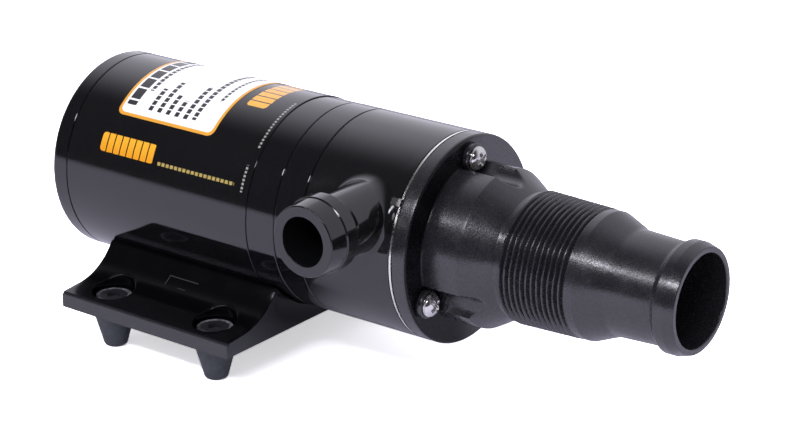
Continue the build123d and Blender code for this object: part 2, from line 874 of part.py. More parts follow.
def brush_card():
    """Insulating plate that carries the brush holders."""
    card = ring(card_radius, card_hole_radius, card_rear_x, card_front_x)
    start = card_rear_x - overlap
    end = card_front_x + overlap
    card -= through_bolt_hole(through_bolt_radius + card_bolt_room, start, end)
    for angle in (0, 180):
        card -= rod(card_screw_radius + card_screw_room, start, end, card_post_circle, angle)
    return card


def brush_card_screws():
    """Two screws through the card into the posts of the rear cover."""
    screws = []
    for angle in (0, 180):
        start = card_rear_x - card_screw_reach
        head_end = card_front_x + card_screw_head_height
        screw = rod(card_screw_radius, start, head_end, card_post_circle, angle)
        screw += rod(card_screw_head_radius, card_front_x, head_end, card_post_circle, angle)
        screws.append(screw)
    return Compound(children=screws)


def thermal_protector():
    """Small overload switch on the brush card."""
    place = Pos(card_front_x + protector_size[0] / 2, 0, axis_height + protector_circle)
    block = place * Box(*protector_size)
    block = fillet(block.edges().filter_by(Axis.X), protector_round)
    return about_shaft(block, protector_angle - 90)


def outlet_pipe():
    """Turned outside of the outlet, pointing to -Y, from inside the housing to its tip."""
    outline = [
        (0, 0),
        (0, port_neck_radius),
        (port_neck_reach, port_neck_radius),
        (port_crest_start, port_crest_radius),
        (port_crest_end, port_crest_radius),
        (port_crest_end, port_crest_radius - port_crest_step),
        (port_reach - port_tip_bevel, port_tip_radius),
        (port_reach, port_tip_radius - port_tip_bevel),
        (port_reach, 0),
    ]
    face = make_face(Polyline(*outline, close=True))
    pipe = revolve(face, Axis.X, 360)
    return Pos(port_x, 0, axis_height + port_rise) * Rot(0, 0, -90) * pipe


def outlet_bore():
    """Passage from the tip of the outlet into the impeller's chamber."""
    inner_end = math.sqrt(chamber_radius**2 - (port_rise + port_bore_radius) ** 2) - overlap
    length = port_reach + overlap - inner_end
    place = Pos(port_x, -(inner_end + length / 2), axis_height + port_rise)
    return place * Rot(90, 0, 0) * Cylinder(port_bore_radius, length)


def chamber():
    """Impeller's room: a circle cut by a second one that leaves the cam along the top."""
    end = housing_front_x + overlap
    full = rod(chamber_radius, chamber_rear_x, end)
    lowered = Pos(0, 0, -cam_rise) * full
    return full & lowered


def pump_housing():
    """Pump body with the impeller's chamber, cam, seal pocket, drain and outlet."""
    body = rod(housing_radius, bell_front_x, housing_front_x)
    body += outlet_pipe()
    joint = body.edges().filter_by(lambda e: e.geom_type not in (GeomType.CIRCLE, GeomType.LINE))
    body = fillet(joint, port_blend)
    body -= chamber()
    body -= outlet_bore()
    body -= rod(seal_radius, seal_rear_x, chamber_rear_x + overlap)
    body -= rod(seal_lip_radius, bell_front_x, seal_rear_x + overlap)
    body -= rod(slinger_room_radius, bell_front_x - overlap, bell_front_x + slinger_room_depth)
    drain_height = housing_radius
    drain_middle = axis_height - drain_height / 2 - overlap - seal_lip_radius
    drain = Cylinder(drain_radius, drain_height)
    body -= Pos(bell_front_x + drain_wall + drain_radius, 0, drain_middle) * drain
    for angle in cover_screw_angles:
        start = bell_front_x - overlap
        end = housing_front_x + overlap
        body -= rod(cover_screw_hole, start, end, cover_screw_circle, angle)
    outer = housing_radius + overlap
    inner = housing_radius - housing_seam
    body -= ring(outer, inner, bell_front_x - overlap, bell_front_x + housing_seam)
    return body


def shaft_seal():
    """Lip seal pressed into the housing, its lip a hair clear of the shaft."""
    lip = front_bearing_bore + running_clearance
    outer = seal_radius - seal_clearance
    wall = seal_wall
    inside_x = seal_rear_x + seal_back_share * wall
    outline = [
        (seal_rear_x, outer),
        (seal_rear_x, lip + wall),
        (seal_rear_x + wall, lip + wall),
        (chamber_rear_x - wall, lip),
        (chamber_rear_x - wall / 2, lip),
        (chamber_rear_x - wall / 2, lip + wall),
        (inside_x, lip + seal_lip_root_share * wall),
        (inside_x, outer - wall),
        (chamber_rear_x, outer - wall),
        (chamber_rear_x, outer),
    ]
    return turned(outline)


def slinger():
    """Disc on the shaft that throws any leak into the drain."""
    start = bell_front_x + slinger_from_housing
    return ring(slinger_radius, front_bearing_bore, start, start + slinger_thickness)


def sheet_with_ports(radius, start_x, end_x):
    """Disc with the screw holes and the curved port that feeds the chamber."""
    sheet = ring(radius, plate_hole_radius, start_x, end_x)
    for angle in cover_screw_angles:
        sheet -= rod(cover_screw_hole, start_x - overlap, end_x + overlap, cover_screw_circle, angle)
    start = start_x - overlap
    end = end_x + overlap
    sheet -= sector(plate_port_outer, plate_port_inner, start, end, plate_port_start, plate_port_span)
    return sheet


def wear_plate():
    """Stainless plate between chamber and cutter, with a bent tab over the housing's rim."""
    plate = sheet_with_ports(flange_radius, plate_rear_x, plate_front_x)
    top = max(flange_radius, housing_radius)
    height = plate_tab_rise + thread_clearance
    tab_rear = plate_rear_x - plate_tab_reach
    stem = Box(plate_front_x - tab_rear, plate_tab_width, height)
    stem = Pos((plate_front_x + tab_rear) / 2, 0, axis_height + top + height / 2) * stem
    under = rod(top + thread_clearance, tab_rear - overlap, plate_rear_x)
    root = Box(wear_plate_thickness, plate_tab_width, plate_tab_root)
    root_middle = axis_height + top - plate_tab_root / 2
    root = Pos(plate_rear_x + wear_plate_thickness / 2, 0, root_middle) * root
    return plate + about_shaft(stem + root - under, plate_tab_angle - 90)


def housing_gasket():
    """Gasket round the chamber, between the housing and the wear plate."""
    gasket = ring(housing_radius - gasket_inset, chamber_radius, housing_front_x, plate_rear_x)
    for angle in cover_screw_angles:
        start = housing_front_x - overlap
        gasket -= rod(cover_screw_hole, start, plate_rear_x + overlap, cover_screw_circle, angle)
    return gasket


def inlet_gasket():
    """Gasket round the cutter's room, between the wear plate and the inlet housing."""
    gasket = ring(flange_radius - gasket_inset, cutter_room_radius, plate_front_x, flange_rear_x)
    for angle in cover_screw_angles:
        start = plate_front_x - overlap
        gasket -= rod(cover_screw_hole, start, flange_rear_x + overlap, cover_screw_circle, angle)
    return gasket


def thread_outline():
    """Points of the tapered thread's profile, one ridge for each turn."""
    points = []
    turns = int(thread_length / thread_pitch)
    margin = (thread_length - turns * thread_pitch) / 2
    for turn in range(turns):
        middle = thread_x + margin + (turn + 0.5) * thread_pitch
        crest = thread_crest_radius - (middle - thread_x) * thread_taper
        root = crest - thread_depth
        points.append((middle - thread_pitch / 2, root))
        points.append((middle - thread_crest_flat / 2, crest))
        points.append((middle + thread_crest_flat / 2, crest))
        points.append((middle + thread_pitch / 2, root))
    unique = [point for step, point in enumerate(points) if step == 0 or step % 4 != 0]
    return unique


def inlet_housing():
    """Screwed-on cover: flange, cutter room, tapered pipe thread and hose barb in one moulding."""
    outline = [
        (flange_rear_x, cutter_room_radius),
        (flange_rear_x, flange_radius),
        (flange_front_x, flange_radius),
        (flange_front_x, body_radius),
        (body_front_x, body_radius),
        (collar_x, collar_radius),
        (thread_x, collar_radius),
    ]
    outline += thread_outline()
    outline += [
        (thread_end_x, band_radius),
        (band_end_x, band_radius),
        (band_end_x + band_bevel, band_radius - band_bevel),
        (barb_x, barb_root_radius),
        (barb_step_x, barb_end_radius),
        (crest_x, barb_crest_radius),
        (crest_end_x, barb_crest_radius),
        (mouth_x, barb_nose_radius),
        (mouth_x, inlet_bore_radius + mouth_chamfer),
        (mouth_x - mouth_chamfer, inlet_bore_radius),
        (flange_rear_x + cutter_room_length + cutter_room_taper, inlet_bore_radius),
        (flange_rear_x + cutter_room_length, cutter_room_radius),
    ]
    housing = turned(outline)
    rims = housing.edges().filter_by(GeomType.CIRCLE).group_by(SortBy.RADIUS)[-1]
    rim = rims.sort_by(Axis.X)[-1]
    housing = fillet(rim, flange_round)
    for angle in cover_screw_angles:
        boss = rod(boss_radius, flange_front_x - overlap, boss_face_x, cover_screw_circle, angle)
        channel_end = boss_face_x + channel_length
        housing -= rod(channel_radius, flange_front_x, channel_end, cover_screw_circle, angle)
        front_edge = boss.edges().filter_by(GeomType.CIRCLE).sort_by(Axis.X)[-1]
        housing += chamfer(front_edge, boss_chamfer)
        start = flange_rear_x - overlap
        housing -= rod(cover_screw_hole, start, boss_face_x + overlap, cover_screw_circle, angle)
    return housing


def cover_screws():
    """Three long pan-head screws that clamp the pump on the front end bell."""
    screws = []
    for angle in cover_screw_angles:
        start = bell_front_x - cover_screw_thread
        head_end = boss_face_x + cover_screw_head_height
        head = rod(cover_screw_head_radius, boss_face_x, head_end, cover_screw_circle, angle)
        rim = head.edges().filter_by(GeomType.CIRCLE).sort_by(Axis.X)[-1]
        head = fillet(rim, cover_screw_head_round)
        shank = rod(cover_screw_radius, start, boss_face_x + overlap, cover_screw_circle, angle)
        across, up = polar(cover_screw_circle, angle)
        cross = Rot(0, 90, 0) * driver_cross(driver_slot_length, driver_slot_depth)
        recess = Pos(head_end, across, axis_height + up) * cross
        screws.append(head + shank - recess)
    return Compound(children=screws)


def impeller_insert():
    """Brass insert moulded into the impeller, driven by the cross pin."""
    insert = ring(insert_radius, front_bearing_bore, impeller_rear_x, impeller_front_x)
    return insert - drive_pin_hole(drive_pin_radius)


def impeller():
    """Rubber impeller with bulb-ended vanes."""
    rubber = ring(impeller_hub_radius, insert_radius, impeller_rear_x, impeller_front_x)
    length = impeller_front_x - impeller_rear_x
    vane_inner = impeller_hub_radius - overlap
    bulb_circle = impeller_radius - vane_bulb_radius
    vane_height = bulb_circle - vane_inner
    vane = Box(length, vane_thickness, vane_height)
    vane = Pos(impeller_middle_x, 0, axis_height + vane_inner + vane_height / 2) * vane
    vane += rod(vane_bulb_radius, impeller_rear_x, impeller_front_x, bulb_circle, 90)
    for step in range(impeller_vanes):
        rubber += about_shaft(vane, (step + 0.5) * 360 / impeller_vanes)
    return rubber


def impeller_drive_pin():
    """Cross pin that locks the insert to the shaft."""
    return drive_pin_hole(drive_pin_radius)


def cutter_blade():
    """Two-armed stainless blade with bevelled edges."""
    arm = Box(cutter_thickness, cutter_width, 2 * cutter_radius)
    arm = chamfer(arm.edges().filter_by(Axis.Z).sort_by(Axis.X)[-2:], cutter_bevel)
    middle_x = (cutter_rear_x + cutter_front_x) / 2
    blade = Pos(middle_x, 0, axis_height) * arm & rod(cutter_radius, cutter_rear_x, cutter_front_x)
    blade += rod(cutter_hub_radius, cutter_rear_x, cutter_front_x)
    return blade - rod(cutter_stub_radius, cutter_rear_x - overlap, cutter_front_x + overlap)


def cutter_lock_washer():
    """Washer under the cutter's nut."""
    return ring(lock_washer_radius, cutter_stub_radius, cutter_front_x, nut_rear_x)


def cutter_nut():
    """Hexagon nut that holds the cutter."""
    hexagon = RegularPolygon(nut_across_flats / 2, 6, major_radius=False)
    nut = Pos(nut_rear_x, 0, axis_height) * Rot(0, 90, 0) * extrude(hexagon, nut_length)
    return nut - rod(cutter_stub_radius, nut_rear_x - overlap, nut_front_x + overlap)


def all_parts():
    """Every node of the pump by name."""
    rear = bearing_parts(
        rear_bearing_x, rear_bearing_bore, rear_bearing_outer, rear_bearing_width, rear_ball_radius
    )
    front = bearing_parts(
        front_bearing_x, front_bearing_bore, front_bearing_outer, front_bearing_width, front_ball_radius
    )
    parts = {
        "motor_can": motor_can(),
        "label_sleeve": label_sleeve(),
        "label_panel": label_panel(),
        "rear_end_bell": rear_end_bell(),
        "front_end_bell": front_end_bell(),
        "lead_grommet": lead_grommet(),
        "through_bolts": through_bolts(),
        "magnets": magnets(),
        "brush_card": brush_card(),
        "brush_card_screws": brush_card_screws(),
        "brush_holders": brush_holders(),
        "brush_upper": brush(1),
        "brush_lower": brush(-1),
        "brush_spring_upper": brush_spring(1),
        "brush_spring_lower": brush_spring(-1),
        "thermal_protector": thermal_protector(),
        "wave_washer": wave_washer(),
        "front_bearing_circlip": front_bearing_circlip(),
        "rear_bearing_outer_ring": rear[0],
        "rear_bearing_inner_ring": rear[1],
        "rear_bearing_balls": rear[2],
        "rear_bearing_cage": rear[3],
        "front_bearing_outer_ring": front[0],
        "front_bearing_inner_ring": front[1],
        "front_bearing_balls": front[2],
        "front_bearing_cage": front[3],
        "shaft": shaft(),
        "shaft_snap_ring": shaft_snap_ring(),
        "armature_core": armature_core(),
        "armature_windings": armature_windings(),
        "commutator_hub": commutator_hub(),
        "commutator_segments": commutator_segments(),
        "slinger": slinger(),
        "pump_housing": pump_housing(),
        "shaft_seal": shaft_seal(),
        "impeller_insert": impeller_insert(),
        "impeller": impeller(),
        "impeller_drive_pin": impeller_drive_pin(),
        "housing_gasket": housing_gasket(),
        "wear_plate": wear_plate(),
        "inlet_gasket": inlet_gasket(),
        "inlet_housing": inlet_housing(),
        "cover_screws": cover_screws(),
        "cutter_blade": cutter_blade(),
        "cutter_lock_washer": cutter_lock_washer(),
        "cutter_nut": cutter_nut(),
        "mounting_base": mounting_base(),
        "base_screws": base_screws(),
    }
    foot_names = ("front_left", "front_right", "back_left", "back_right")
    for name, place in zip(foot_names, foot_places()):
        parts["rubber_foot_" + name] = rubber_foot(place)
    return parts


os.makedirs("parts", exist_ok=True)
for node_name, solid in all_parts().items():
    export_step(solid, os.path.join("parts", node_name + ".step"))
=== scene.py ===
import math

import bmesh
import bpy
import numpy as np
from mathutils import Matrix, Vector


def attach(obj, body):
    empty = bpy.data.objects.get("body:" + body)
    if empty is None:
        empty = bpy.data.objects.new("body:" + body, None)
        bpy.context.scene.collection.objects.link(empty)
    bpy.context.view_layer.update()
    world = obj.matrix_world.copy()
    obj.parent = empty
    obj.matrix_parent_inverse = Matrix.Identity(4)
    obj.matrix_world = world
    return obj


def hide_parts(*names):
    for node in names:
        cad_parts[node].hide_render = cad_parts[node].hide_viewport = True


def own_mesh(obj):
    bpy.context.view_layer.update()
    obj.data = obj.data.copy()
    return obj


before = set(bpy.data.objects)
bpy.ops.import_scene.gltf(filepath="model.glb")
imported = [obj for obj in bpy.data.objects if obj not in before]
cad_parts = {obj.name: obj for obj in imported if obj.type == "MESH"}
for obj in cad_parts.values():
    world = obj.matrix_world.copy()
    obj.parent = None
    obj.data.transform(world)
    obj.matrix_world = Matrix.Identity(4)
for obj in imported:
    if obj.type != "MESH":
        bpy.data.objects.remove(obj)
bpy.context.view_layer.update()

# Sizes in millimetres, in the pump's own frame: +X to the inlet, -Y to the outlet, +Z up.
# Angles about the shaft start at -Y and pass through the top.
MM = 0.001
AXIS = 59.7
SHAFT = (0.0, 0.0, AXIS)
BODY_R = 39.0
SLEEVE_R = 39.3
SLEEVE_DEGREE = SLEEVE_R * math.pi / 180
CAN_R = 38.9
CAN_WALL = 2.0
SCREW_CIRCLE = 31.7
SCREW_ANGLES = (90.0, 210.0, 330.0)
WELD = 0.004
SLIVER = 0.001


# Shapes


def between(first, last, share):
    """A share of the way from the first value to the last."""
    return first * (1 - share) + last * share


def shares(count):
    """Even steps up to 1 as a column, without the 0 they start from."""
    return np.linspace(0, 1, count)[1:, None]


def swung(first, last, turn, share):
    """Spoke of an arc, a share of the turn from its first spoke to its last."""
    return (np.sin((1 - share) * turn) * first + np.sin(share * turn) * last) / np.sin(turn)


def rounded(corners, closed=False, step=14.0, support=0.3):
    """Profile through corners of (a, b, round), each corner turned into an arc of its radius.
    An arc runs between the two tangent points, by turning one spoke of its centre into the other.
    A point on each side of an arc keeps the flats next to it flat."""
    points = []
    count = len(corners)
    for index, corner in enumerate(corners):
        here = np.array(corner[:2], float)
        radius = corner[2] if len(corner) > 2 else 0.0
        ends = not closed and index in (0, count - 1)
        if radius <= 0 or ends:
            points.append(here)
            continue
        back = np.array(corners[index - 1][:2], float) - here
        ahead = np.array(corners[(index + 1) % count][:2], float) - here
        reach_back = np.linalg.norm(back)
        reach_ahead = np.linalg.norm(ahead)
        back /= reach_back
        ahead /= reach_ahead
        half = math.acos(np.clip(back @ ahead, -1, 1)) / 2
        tangent = radius / math.tan(half)
        limit = 0.48 * min(reach_back, reach_ahead)
        if tangent > limit:
            radius *= limit / tangent
            tangent = limit
        bisector = (back + ahead) / np.linalg.norm(back + ahead)
        centre = here + bisector * radius / math.sin(half)
        turn = math.pi - 2 * half
        share = np.linspace(0, 1, max(2, math.ceil(math.degrees(turn) / step)) + 1)[:, None]
        arc = swung(here + back * tangent - centre, here + ahead * tangent - centre, turn, share)
        if reach_back - tangent > 2 * support:
            points.append(here + back * (tangent + support))
        points.extend(centre + arc)
        if reach_ahead - tangent > 2 * support:
            points.append(here + ahead * (tangent + support))
    return np.array(points)


def at_marks(profile, marks, along):
    """Points of a profile at marks, whose own points lie at the given lengths along it."""
    return np.stack([np.interp(marks, along, profile[:, column]) for column in (0, 1)], axis=-1)


def refined(profile, longest, closed=False):
    """The same profile with points added so that no run is longer than the given length."""
    line = np.vstack([profile, profile[:1]]) if closed else profile
    runs = np.linalg.norm(np.diff(line, axis=0), axis=1)
    along = np.concatenate([[0], np.cumsum(runs)])
    counts = np.maximum(1, np.ceil(runs / longest).astype(int))
    spans = zip(along, along[1:], counts)
    marks = np.concatenate([np.linspace(start, end, count, endpoint=False) for start, end, count in spans])
    if not closed:
        marks = np.append(marks, along[-1])
    return at_marks(line, marks, along)


def round_shaft(x, radius, angle, centre=SHAFT):
    """Points at x, at a radius and an angle in radians about the shaft or another line along X."""
    x, radius, angle = np.broadcast_arrays(x, radius, angle)
    return np.stack([x, -radius * np.cos(angle), radius * np.sin(angle)], axis=-1) + centre


def unit(vectors):
    """The same directions with length 1."""
    return vectors / np.linalg.norm(vectors, axis=-1, keepdims=True)


def rings(profile, angle):
    """Rows round the shaft, one for each point of a profile of (x, radius)."""
    return round_shaft(profile[:, :1], profile[:, 1:], angle)


def border(us, vs):
    """Points of (u, v) round a grid: along its last u, back at the last v, and home again."""
    pairs = [(us[-1], v) for v in vs[:-1]] + [(u, vs[-1]) for u in us[:0:-1]]
    pairs += [(us[0], v) for v in vs[:0:-1]] + [(u, vs[0]) for u in us[:-1]]
    return np.array(pairs)


def turned(profile, columns=192, centre=SHAFT):
    """Surface of a profile of (x, radius) turned about the shaft or another line along X."""
    angle = np.linspace(0, 2 * math.pi, columns, endpoint=False)
    return round_shaft(profile[:, :1], profile[:, 1:], angle, centre)


def patch(points, wrap_rows=False, wrap_columns=False, keep=None):
    """Grid of points as vertices and four-sided faces, with rows or columns closed on themselves."""
    rows, columns = points.shape[:2]
    row, column = np.meshgrid(
        np.arange(rows if wrap_rows else rows - 1),
        np.arange(columns if wrap_columns else columns - 1),
        indexing="ij",
    )
    here = row * columns
    after = (row + 1) % rows * columns
    column_next = (column + 1) % columns
    corners = [here + column, here + column_next, after + column_next, after + column]
    faces = np.stack(corners, axis=-1)
    if keep is not None:
        faces = faces[keep]
    return points.reshape(-1, 3), faces.reshape(-1, 4).tolist()


def cap(ring):
    """One flat face across a ring of points."""
    return ring, [list(range(len(ring)))]


def piece(name, shells, finish, replaces, sharp=40.0):
    """Object in metres from shells of vertices and faces, welded where they meet and turned outwards.
    It rides the pump's body and stands for the CAD nodes that it replaces."""
    verts = np.vstack([shell[0] for shell in shells])
    faces = []
    offset = 0
    for points, quads in shells:
        faces.extend([index + offset for index in face] for face in quads)
        offset += len(points)
    mesh = bpy.data.meshes.new(name)
    mesh.from_pydata((verts * MM).tolist(), [], faces)
    shape = bmesh.new()
    shape.from_mesh(mesh)
    bmesh.ops.remove_doubles(shape, verts=shape.verts, dist=WELD * MM)
    bmesh.ops.dissolve_degenerate(shape, edges=shape.edges, dist=SLIVER * MM)
    bmesh.ops.recalc_face_normals(shape, faces=shape.faces)
    shape.to_mesh(mesh)
    shape.free()
    mesh.shade_smooth()
    mesh.set_sharp_from_angle(angle=math.radians(sharp))
    mesh.materials.append(finish.material)
    made = bpy.data.objects.new(name, mesh)
    bpy.context.scene.collection.objects.link(made)
    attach(made, "pump_body")
    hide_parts(*replaces)
    return made


def smooth_least(first, second, width):
    """The lesser of two values, with the corner between them rounded over a width."""
    share = np.clip(0.5 + 0.5 * (second - first) / width, 0, 1)
    return between(second, first, share) - width * share * (1 - share)


def smooth_step(value, start, end):
    """0 before start and 1 after end, with a smooth rise between them."""
    share = np.clip((value - start) / (end - start), 0, 1)
    return share * share * (3 - 2 * share)


# Finishes


class Value:
    """What a node gives. Arithmetic on it adds nodes."""

    def __init__(self, nodes, socket):
        self.nodes = nodes
        self.socket = socket

    def __add__(self, other):
        return self.nodes.math("ADD", self, other)

    def __sub__(self, other):
        return self.nodes.math("SUBTRACT", self, other)

    def __mul__(self, other):
        return self.nodes.math("MULTIPLY", self, other)

    def __truediv__(self, other):
        return self.nodes.math("DIVIDE", self, other)

    def __pow__(self, other):
        return self.nodes.math("POWER", self, other)

    def __abs__(self):
        return self.nodes.math("ABSOLUTE", self)


class Nodes:
    """A node tree, with short calls for the nodes that the finishes, the floor and the room share."""

    def __init__(self, tree):
        self.tree = tree
        tree.nodes.clear()

    def feed(self, socket, value):
        """Links a value to a socket, or sets the socket to a number or a colour."""
        if isinstance(value, Value):
            self.tree.links.new(value.socket, socket)
        elif socket.type == "RGBA":
            socket.default_value = (*value, 1.0)
        else:
            socket.default_value = value

    def node(self, kind, values=(), **settings):
        """Node of a kind, with settings, whose inputs get values by their place or their name."""
        made = self.tree.nodes.new("ShaderNode" + kind)
        for key, value in settings.items():
            setattr(made, key, value)
        for key, value in values.items() if isinstance(values, dict) else enumerate(values):
            self.feed(made.inputs[key], value)
        return made

    def get(self, kind, values=(), output=0, **settings):
        """What one output of a new node gives."""
        return Value(self, self.node(kind, values, **settings).outputs[output])

    def math(self, operation, *values):
        return self.get("Math", values, operation=operation)

    def most(self, value, *others):
        for other in others:
            value = self.math("MAXIMUM", value, other)
        return value

    def spread(self, value, start, end, low, high):
        """Low before start and high after end, with a smooth change between them."""
        return self.get("MapRange", (value, start, end, low, high), interpolation_type="SMOOTHSTEP")

    def split(self, vector):
        """The x, y and z of a vector."""
        return [Value(self, part) for part in self.node("SeparateXYZ", [vector]).outputs]


class Finish(Nodes):
    """A material's nodes around one shader."""

    def __init__(self, name):
        self.material = bpy.data.materials.new(name)
        self.material.use_nodes = True
        super().__init__(self.material.node_tree)
        self.shader = self.node("BsdfPrincipled")
        self.node("OutputMaterial", [Value(self, self.shader.outputs[0])])
        self.place = self.get("TexCoord", output="Object")

    def set(self, **values):
        for key, value in values.items():
            self.feed(self.shader.inputs[key.replace("_", " ")], value)
        return self

    def noise(self, scale, detail=2.0, stretch=None):
        place = self.get("Mapping", {"Vector": self.place, "Scale": stretch}) if stretch else self.place
        return self.get("TexNoise", {"Vector": place, "Scale": scale, "Detail": detail}, "Fac")

    def polish(self, low, high, scale, detail=3.0, stretch=None):
        """Roughness that drifts between two values."""
        return self.spread(self.noise(scale, detail, stretch), 0.3, 0.7, low, high)

    def mix(self, share, first, second):
        return self.get("Mix", {0: share, 6: first, 7: second}, 2, data_type="RGBA")

    def bump(self, height, distance):
        return self.set(Normal=self.get("Bump", {"Distance": distance, "Height": height}))

    def wrapped(self):
        """Millimetres along the shaft, and millimetres round the sleeve from -Y towards the top."""
        x, y, z = self.split(self.place)
        angle = self.math("ARCTAN2", z - AXIS * MM, y * -1.0)
        return x * 1000.0, angle * SLEEVE_R

    def plate(self, place, box, corner, soft=0.08):
        """1 where a place of (along, around) lies in a rounded box of a range along and one around."""
        squares = []
        for value, low, high in zip(place, box[::2], box[1::2]):
            past = abs(value - (low + high) / 2) - ((high - low) / 2 - corner)
            squares.append(self.most(past, 0.0) ** 2.0)
        far = self.math("SQRT", squares[0] + squares[1])
        return self.spread(far, corner - soft, corner + soft, 1.0, 0.0)

    def area(self, place, box, corner):
        """1 inside a rounded rectangle on the sleeve, in millimetres along it and degrees round it."""
        low, high, start, end = box
        return self.plate(place, (low, high, start * SLEEVE_DEGREE, end * SLEEVE_DEGREE), corner)

    def dashes(self, value, pitch, share):
        """1 on the dashes and 0 in the gaps of a row with a pitch."""
        return self.math("LESS_THAN", self.math("FRACT", value / pitch), share)


def scaled(base, factor):
    """A colour whose parts are multiplied by a factor."""
    return tuple(factor * value for value in base)


def gloss_black(name, base=(0.0035, 0.0035, 0.0045), low=0.05, high=0.1, wave=0.000012):
    """Gloss black paint: a faint orange peel over slow waves, and a film whose polish changes."""
    finish = Finish(name)
    tone = finish.mix(finish.noise(40.0), base, scaled(base, 1.5))
    film = finish.polish(low, high, 90.0, 4.0)
    finish.set(Base_Color=tone, Roughness=film, Specular_IOR_Level=0.62)
    peel = finish.noise(260.0, 1.0) * (0.000004 / wave)
    return finish.bump(finish.noise(55.0) + peel, wave)


def base_black():
    """Moulded base: deep black above. Painted reflection lightens the face round its rim and its flat
    ends, the ends more towards their outer edges, and painted highlights run along the shelf's step
    and on three fine lines on its shelf, given in millimetres."""
    black = (0.0015, 0.0015, 0.002)
    finish = gloss_black("black_base_film", black, 0.1, 0.18)
    x, y, z = finish.split(finish.place)
    # Painted reflection on the face round the rim and on the flat ends, and a painted highlight on the
    # shelf's step.
    outward = abs(y)
    rim = finish.spread(outward, 0.0590, 0.0591, 0.0, 1.0)
    low = finish.spread(z, 0.0207, 0.0208, 1.0, 0.0)
    step = finish.spread(outward, 0.0582, 0.0583, 0.0, 0.8) * low
    end = finish.spread(abs(x), 0.0420, 0.0421, 0.0, 1.0)
    end *= finish.spread(outward, 0.026, 0.058, 0.0, 0.9)
    painted_sheen = finish.most(rim, step, end)
    # Painted highlights on three fine lines along the shelf.
    place = (x * 1000.0, y * 1000.0)
    for box in ((-7.5, 7.0, -35.3, -35.0), (-7.5, -7.1, -38.4, -35.0), (-1.0, 3.0, -38.5, -38.3)):
        painted_sheen = finish.most(painted_sheen, finish.plate(place, box, 0.1) * 0.8)
    # Lighter grey that these painted highlights and painted reflections take.
    sheen_grey = finish.mix(finish.noise(900.0, 4.0), (0.04, 0.04, 0.045), (0.052, 0.052, 0.06))
    return finish.set(Base_Color=finish.mix(painted_sheen, black, sheen_grey), Specular_IOR_Level=0.24)


def foot_rubber():
    """Grey rubber, dusty outside. The ring inside the pocket is smooth and darkened with painted shade,
    with a painted highlight at its outer edge."""
    grey = (0.045, 0.052, 0.064)
    finish = dull("foot_rubber_skin", grey, 0.5, 0.66, 450.0, 0.00003)
    x, y, z = finish.split(finish.place)
    # Above the pocket's floor the foot's ring takes painted shade and a lower roughness.
    inside = finish.spread(z, 0.0186, 0.0190, 0.0, 1.0)
    ahead = abs(x) - FOOT_X * MM
    aside = abs(y) - FOOT_Y * MM
    spoke = finish.math("SQRT", ahead**2.0 + aside**2.0)
    # Painted highlight along the ring's outer edge, strongest on the side towards the base's middle.
    painted_highlight = finish.spread(spoke, 0.0050, 0.0058, 0.0, 1.0) * finish.spread(aside, -0.003, 0.004, 1.0, 0.2)
    painted_highlight *= finish.spread(finish.noise(500.0), 0.35, 0.65, 0.3, 1.0)
    dust = finish.mix(finish.noise(450.0, 4.0), grey, (0.032, 0.037, 0.046))
    # The ring's colour: dark painted shade, lightened to the painted highlight at its outer edge.
    ring = finish.mix(painted_highlight, (0.02, 0.02, 0.023), (0.22, 0.22, 0.24))
    film = finish.spread(inside, 0.0, 1.0, finish.polish(0.5, 0.66, 450.0), 0.22)
    return finish.set(Base_Color=finish.mix(inside, dust, ring), Roughness=film)


def edge_steel():
    """Bright plate, with a darker, mottled tab outside the joint, darkest below 100 mm along x."""
    steel = (0.72, 0.7, 0.67)
    finish = metal("plate_steel", steel, 0.16, 0.3, 700.0)
    x, y, z = finish.split(finish.place)
    spoke = finish.math("SQRT", (z - AXIS * MM) ** 2.0 + y**2.0)
    outside = finish.spread(spoke, 0.0392, 0.0394, 0.0, 1.0)
    shade = finish.noise(1400.0, 4.0) * finish.spread(x, 0.1, 0.1005, 0.1, 1.0)
    # Darker, mottled tone for the tab, darkest below 100 mm along x.
    tab_tone = finish.mix(shade, (0.02, 0.02, 0.02), (0.3, 0.29, 0.28))
    return finish.set(Base_Color=finish.mix(outside, steel, tab_tone))


def moulded_black():
    """Black glass-filled plastic: fine grain that breaks up the highlights, and cloudy polish. The
    flange's face carries painted shade on the outlet's side: a darker tone and a weaker reflection."""
    finish = Finish("black_moulding")
    tone = finish.mix(finish.noise(700.0, 3.0), (0.007, 0.007, 0.0085), (0.018, 0.018, 0.0215))
    grain = finish.spread(finish.noise(2600.0), 0.35, 0.7, 0.0, 0.14)
    x, y, _ = finish.split(finish.place)
    # Painted shade: the flange's face turns darker and reflects less on the outlet's side.
    face = finish.spread(abs(x * 1000.0 - FLANGE_FRONT), 0.25, 0.6, 1.0, 0.0)
    face *= finish.spread(y, -0.012, 0.012, 1.0, 0.0)
    tone = finish.mix(face, tone, (0.002, 0.002, 0.003))
    shine = finish.spread(face, 0.0, 1.0, 0.78, 0.2)
    film = finish.polish(0.14, 0.24, 120.0, 5.0) + grain
    finish.set(Base_Color=tone, Roughness=film, Specular_IOR_Level=shine)
    return finish.bump(finish.noise(1500.0, 3.0), 0.00003)


def metal(name, base, low, high, grain=900.0, stretch=None):
    """Bare metal with a fine grain in its polish and its surface."""
    finish = Finish(name)
    tone = finish.mix(finish.noise(150.0, 3.0), base, scaled(base, 0.82))
    finish.set(Base_Color=tone, Metallic=1.0, Roughness=finish.polish(low, high, grain, 3.0, stretch))
    return finish.bump(finish.noise(grain, 2.0, stretch), 0.000004)


def dull(name, base, low, high, grain=500.0, depth=0.00002):
    """Rubber, fibre, carbon or ceramic: an uneven tone and a soft surface."""
    finish = Finish(name)
    tone = finish.mix(finish.noise(grain, 4.0), base, scaled(base, 0.7))
    finish.set(Base_Color=tone, Roughness=finish.polish(low, high, grain))
    return finish.bump(finish.noise(1.6 * grain, 3.0), depth)


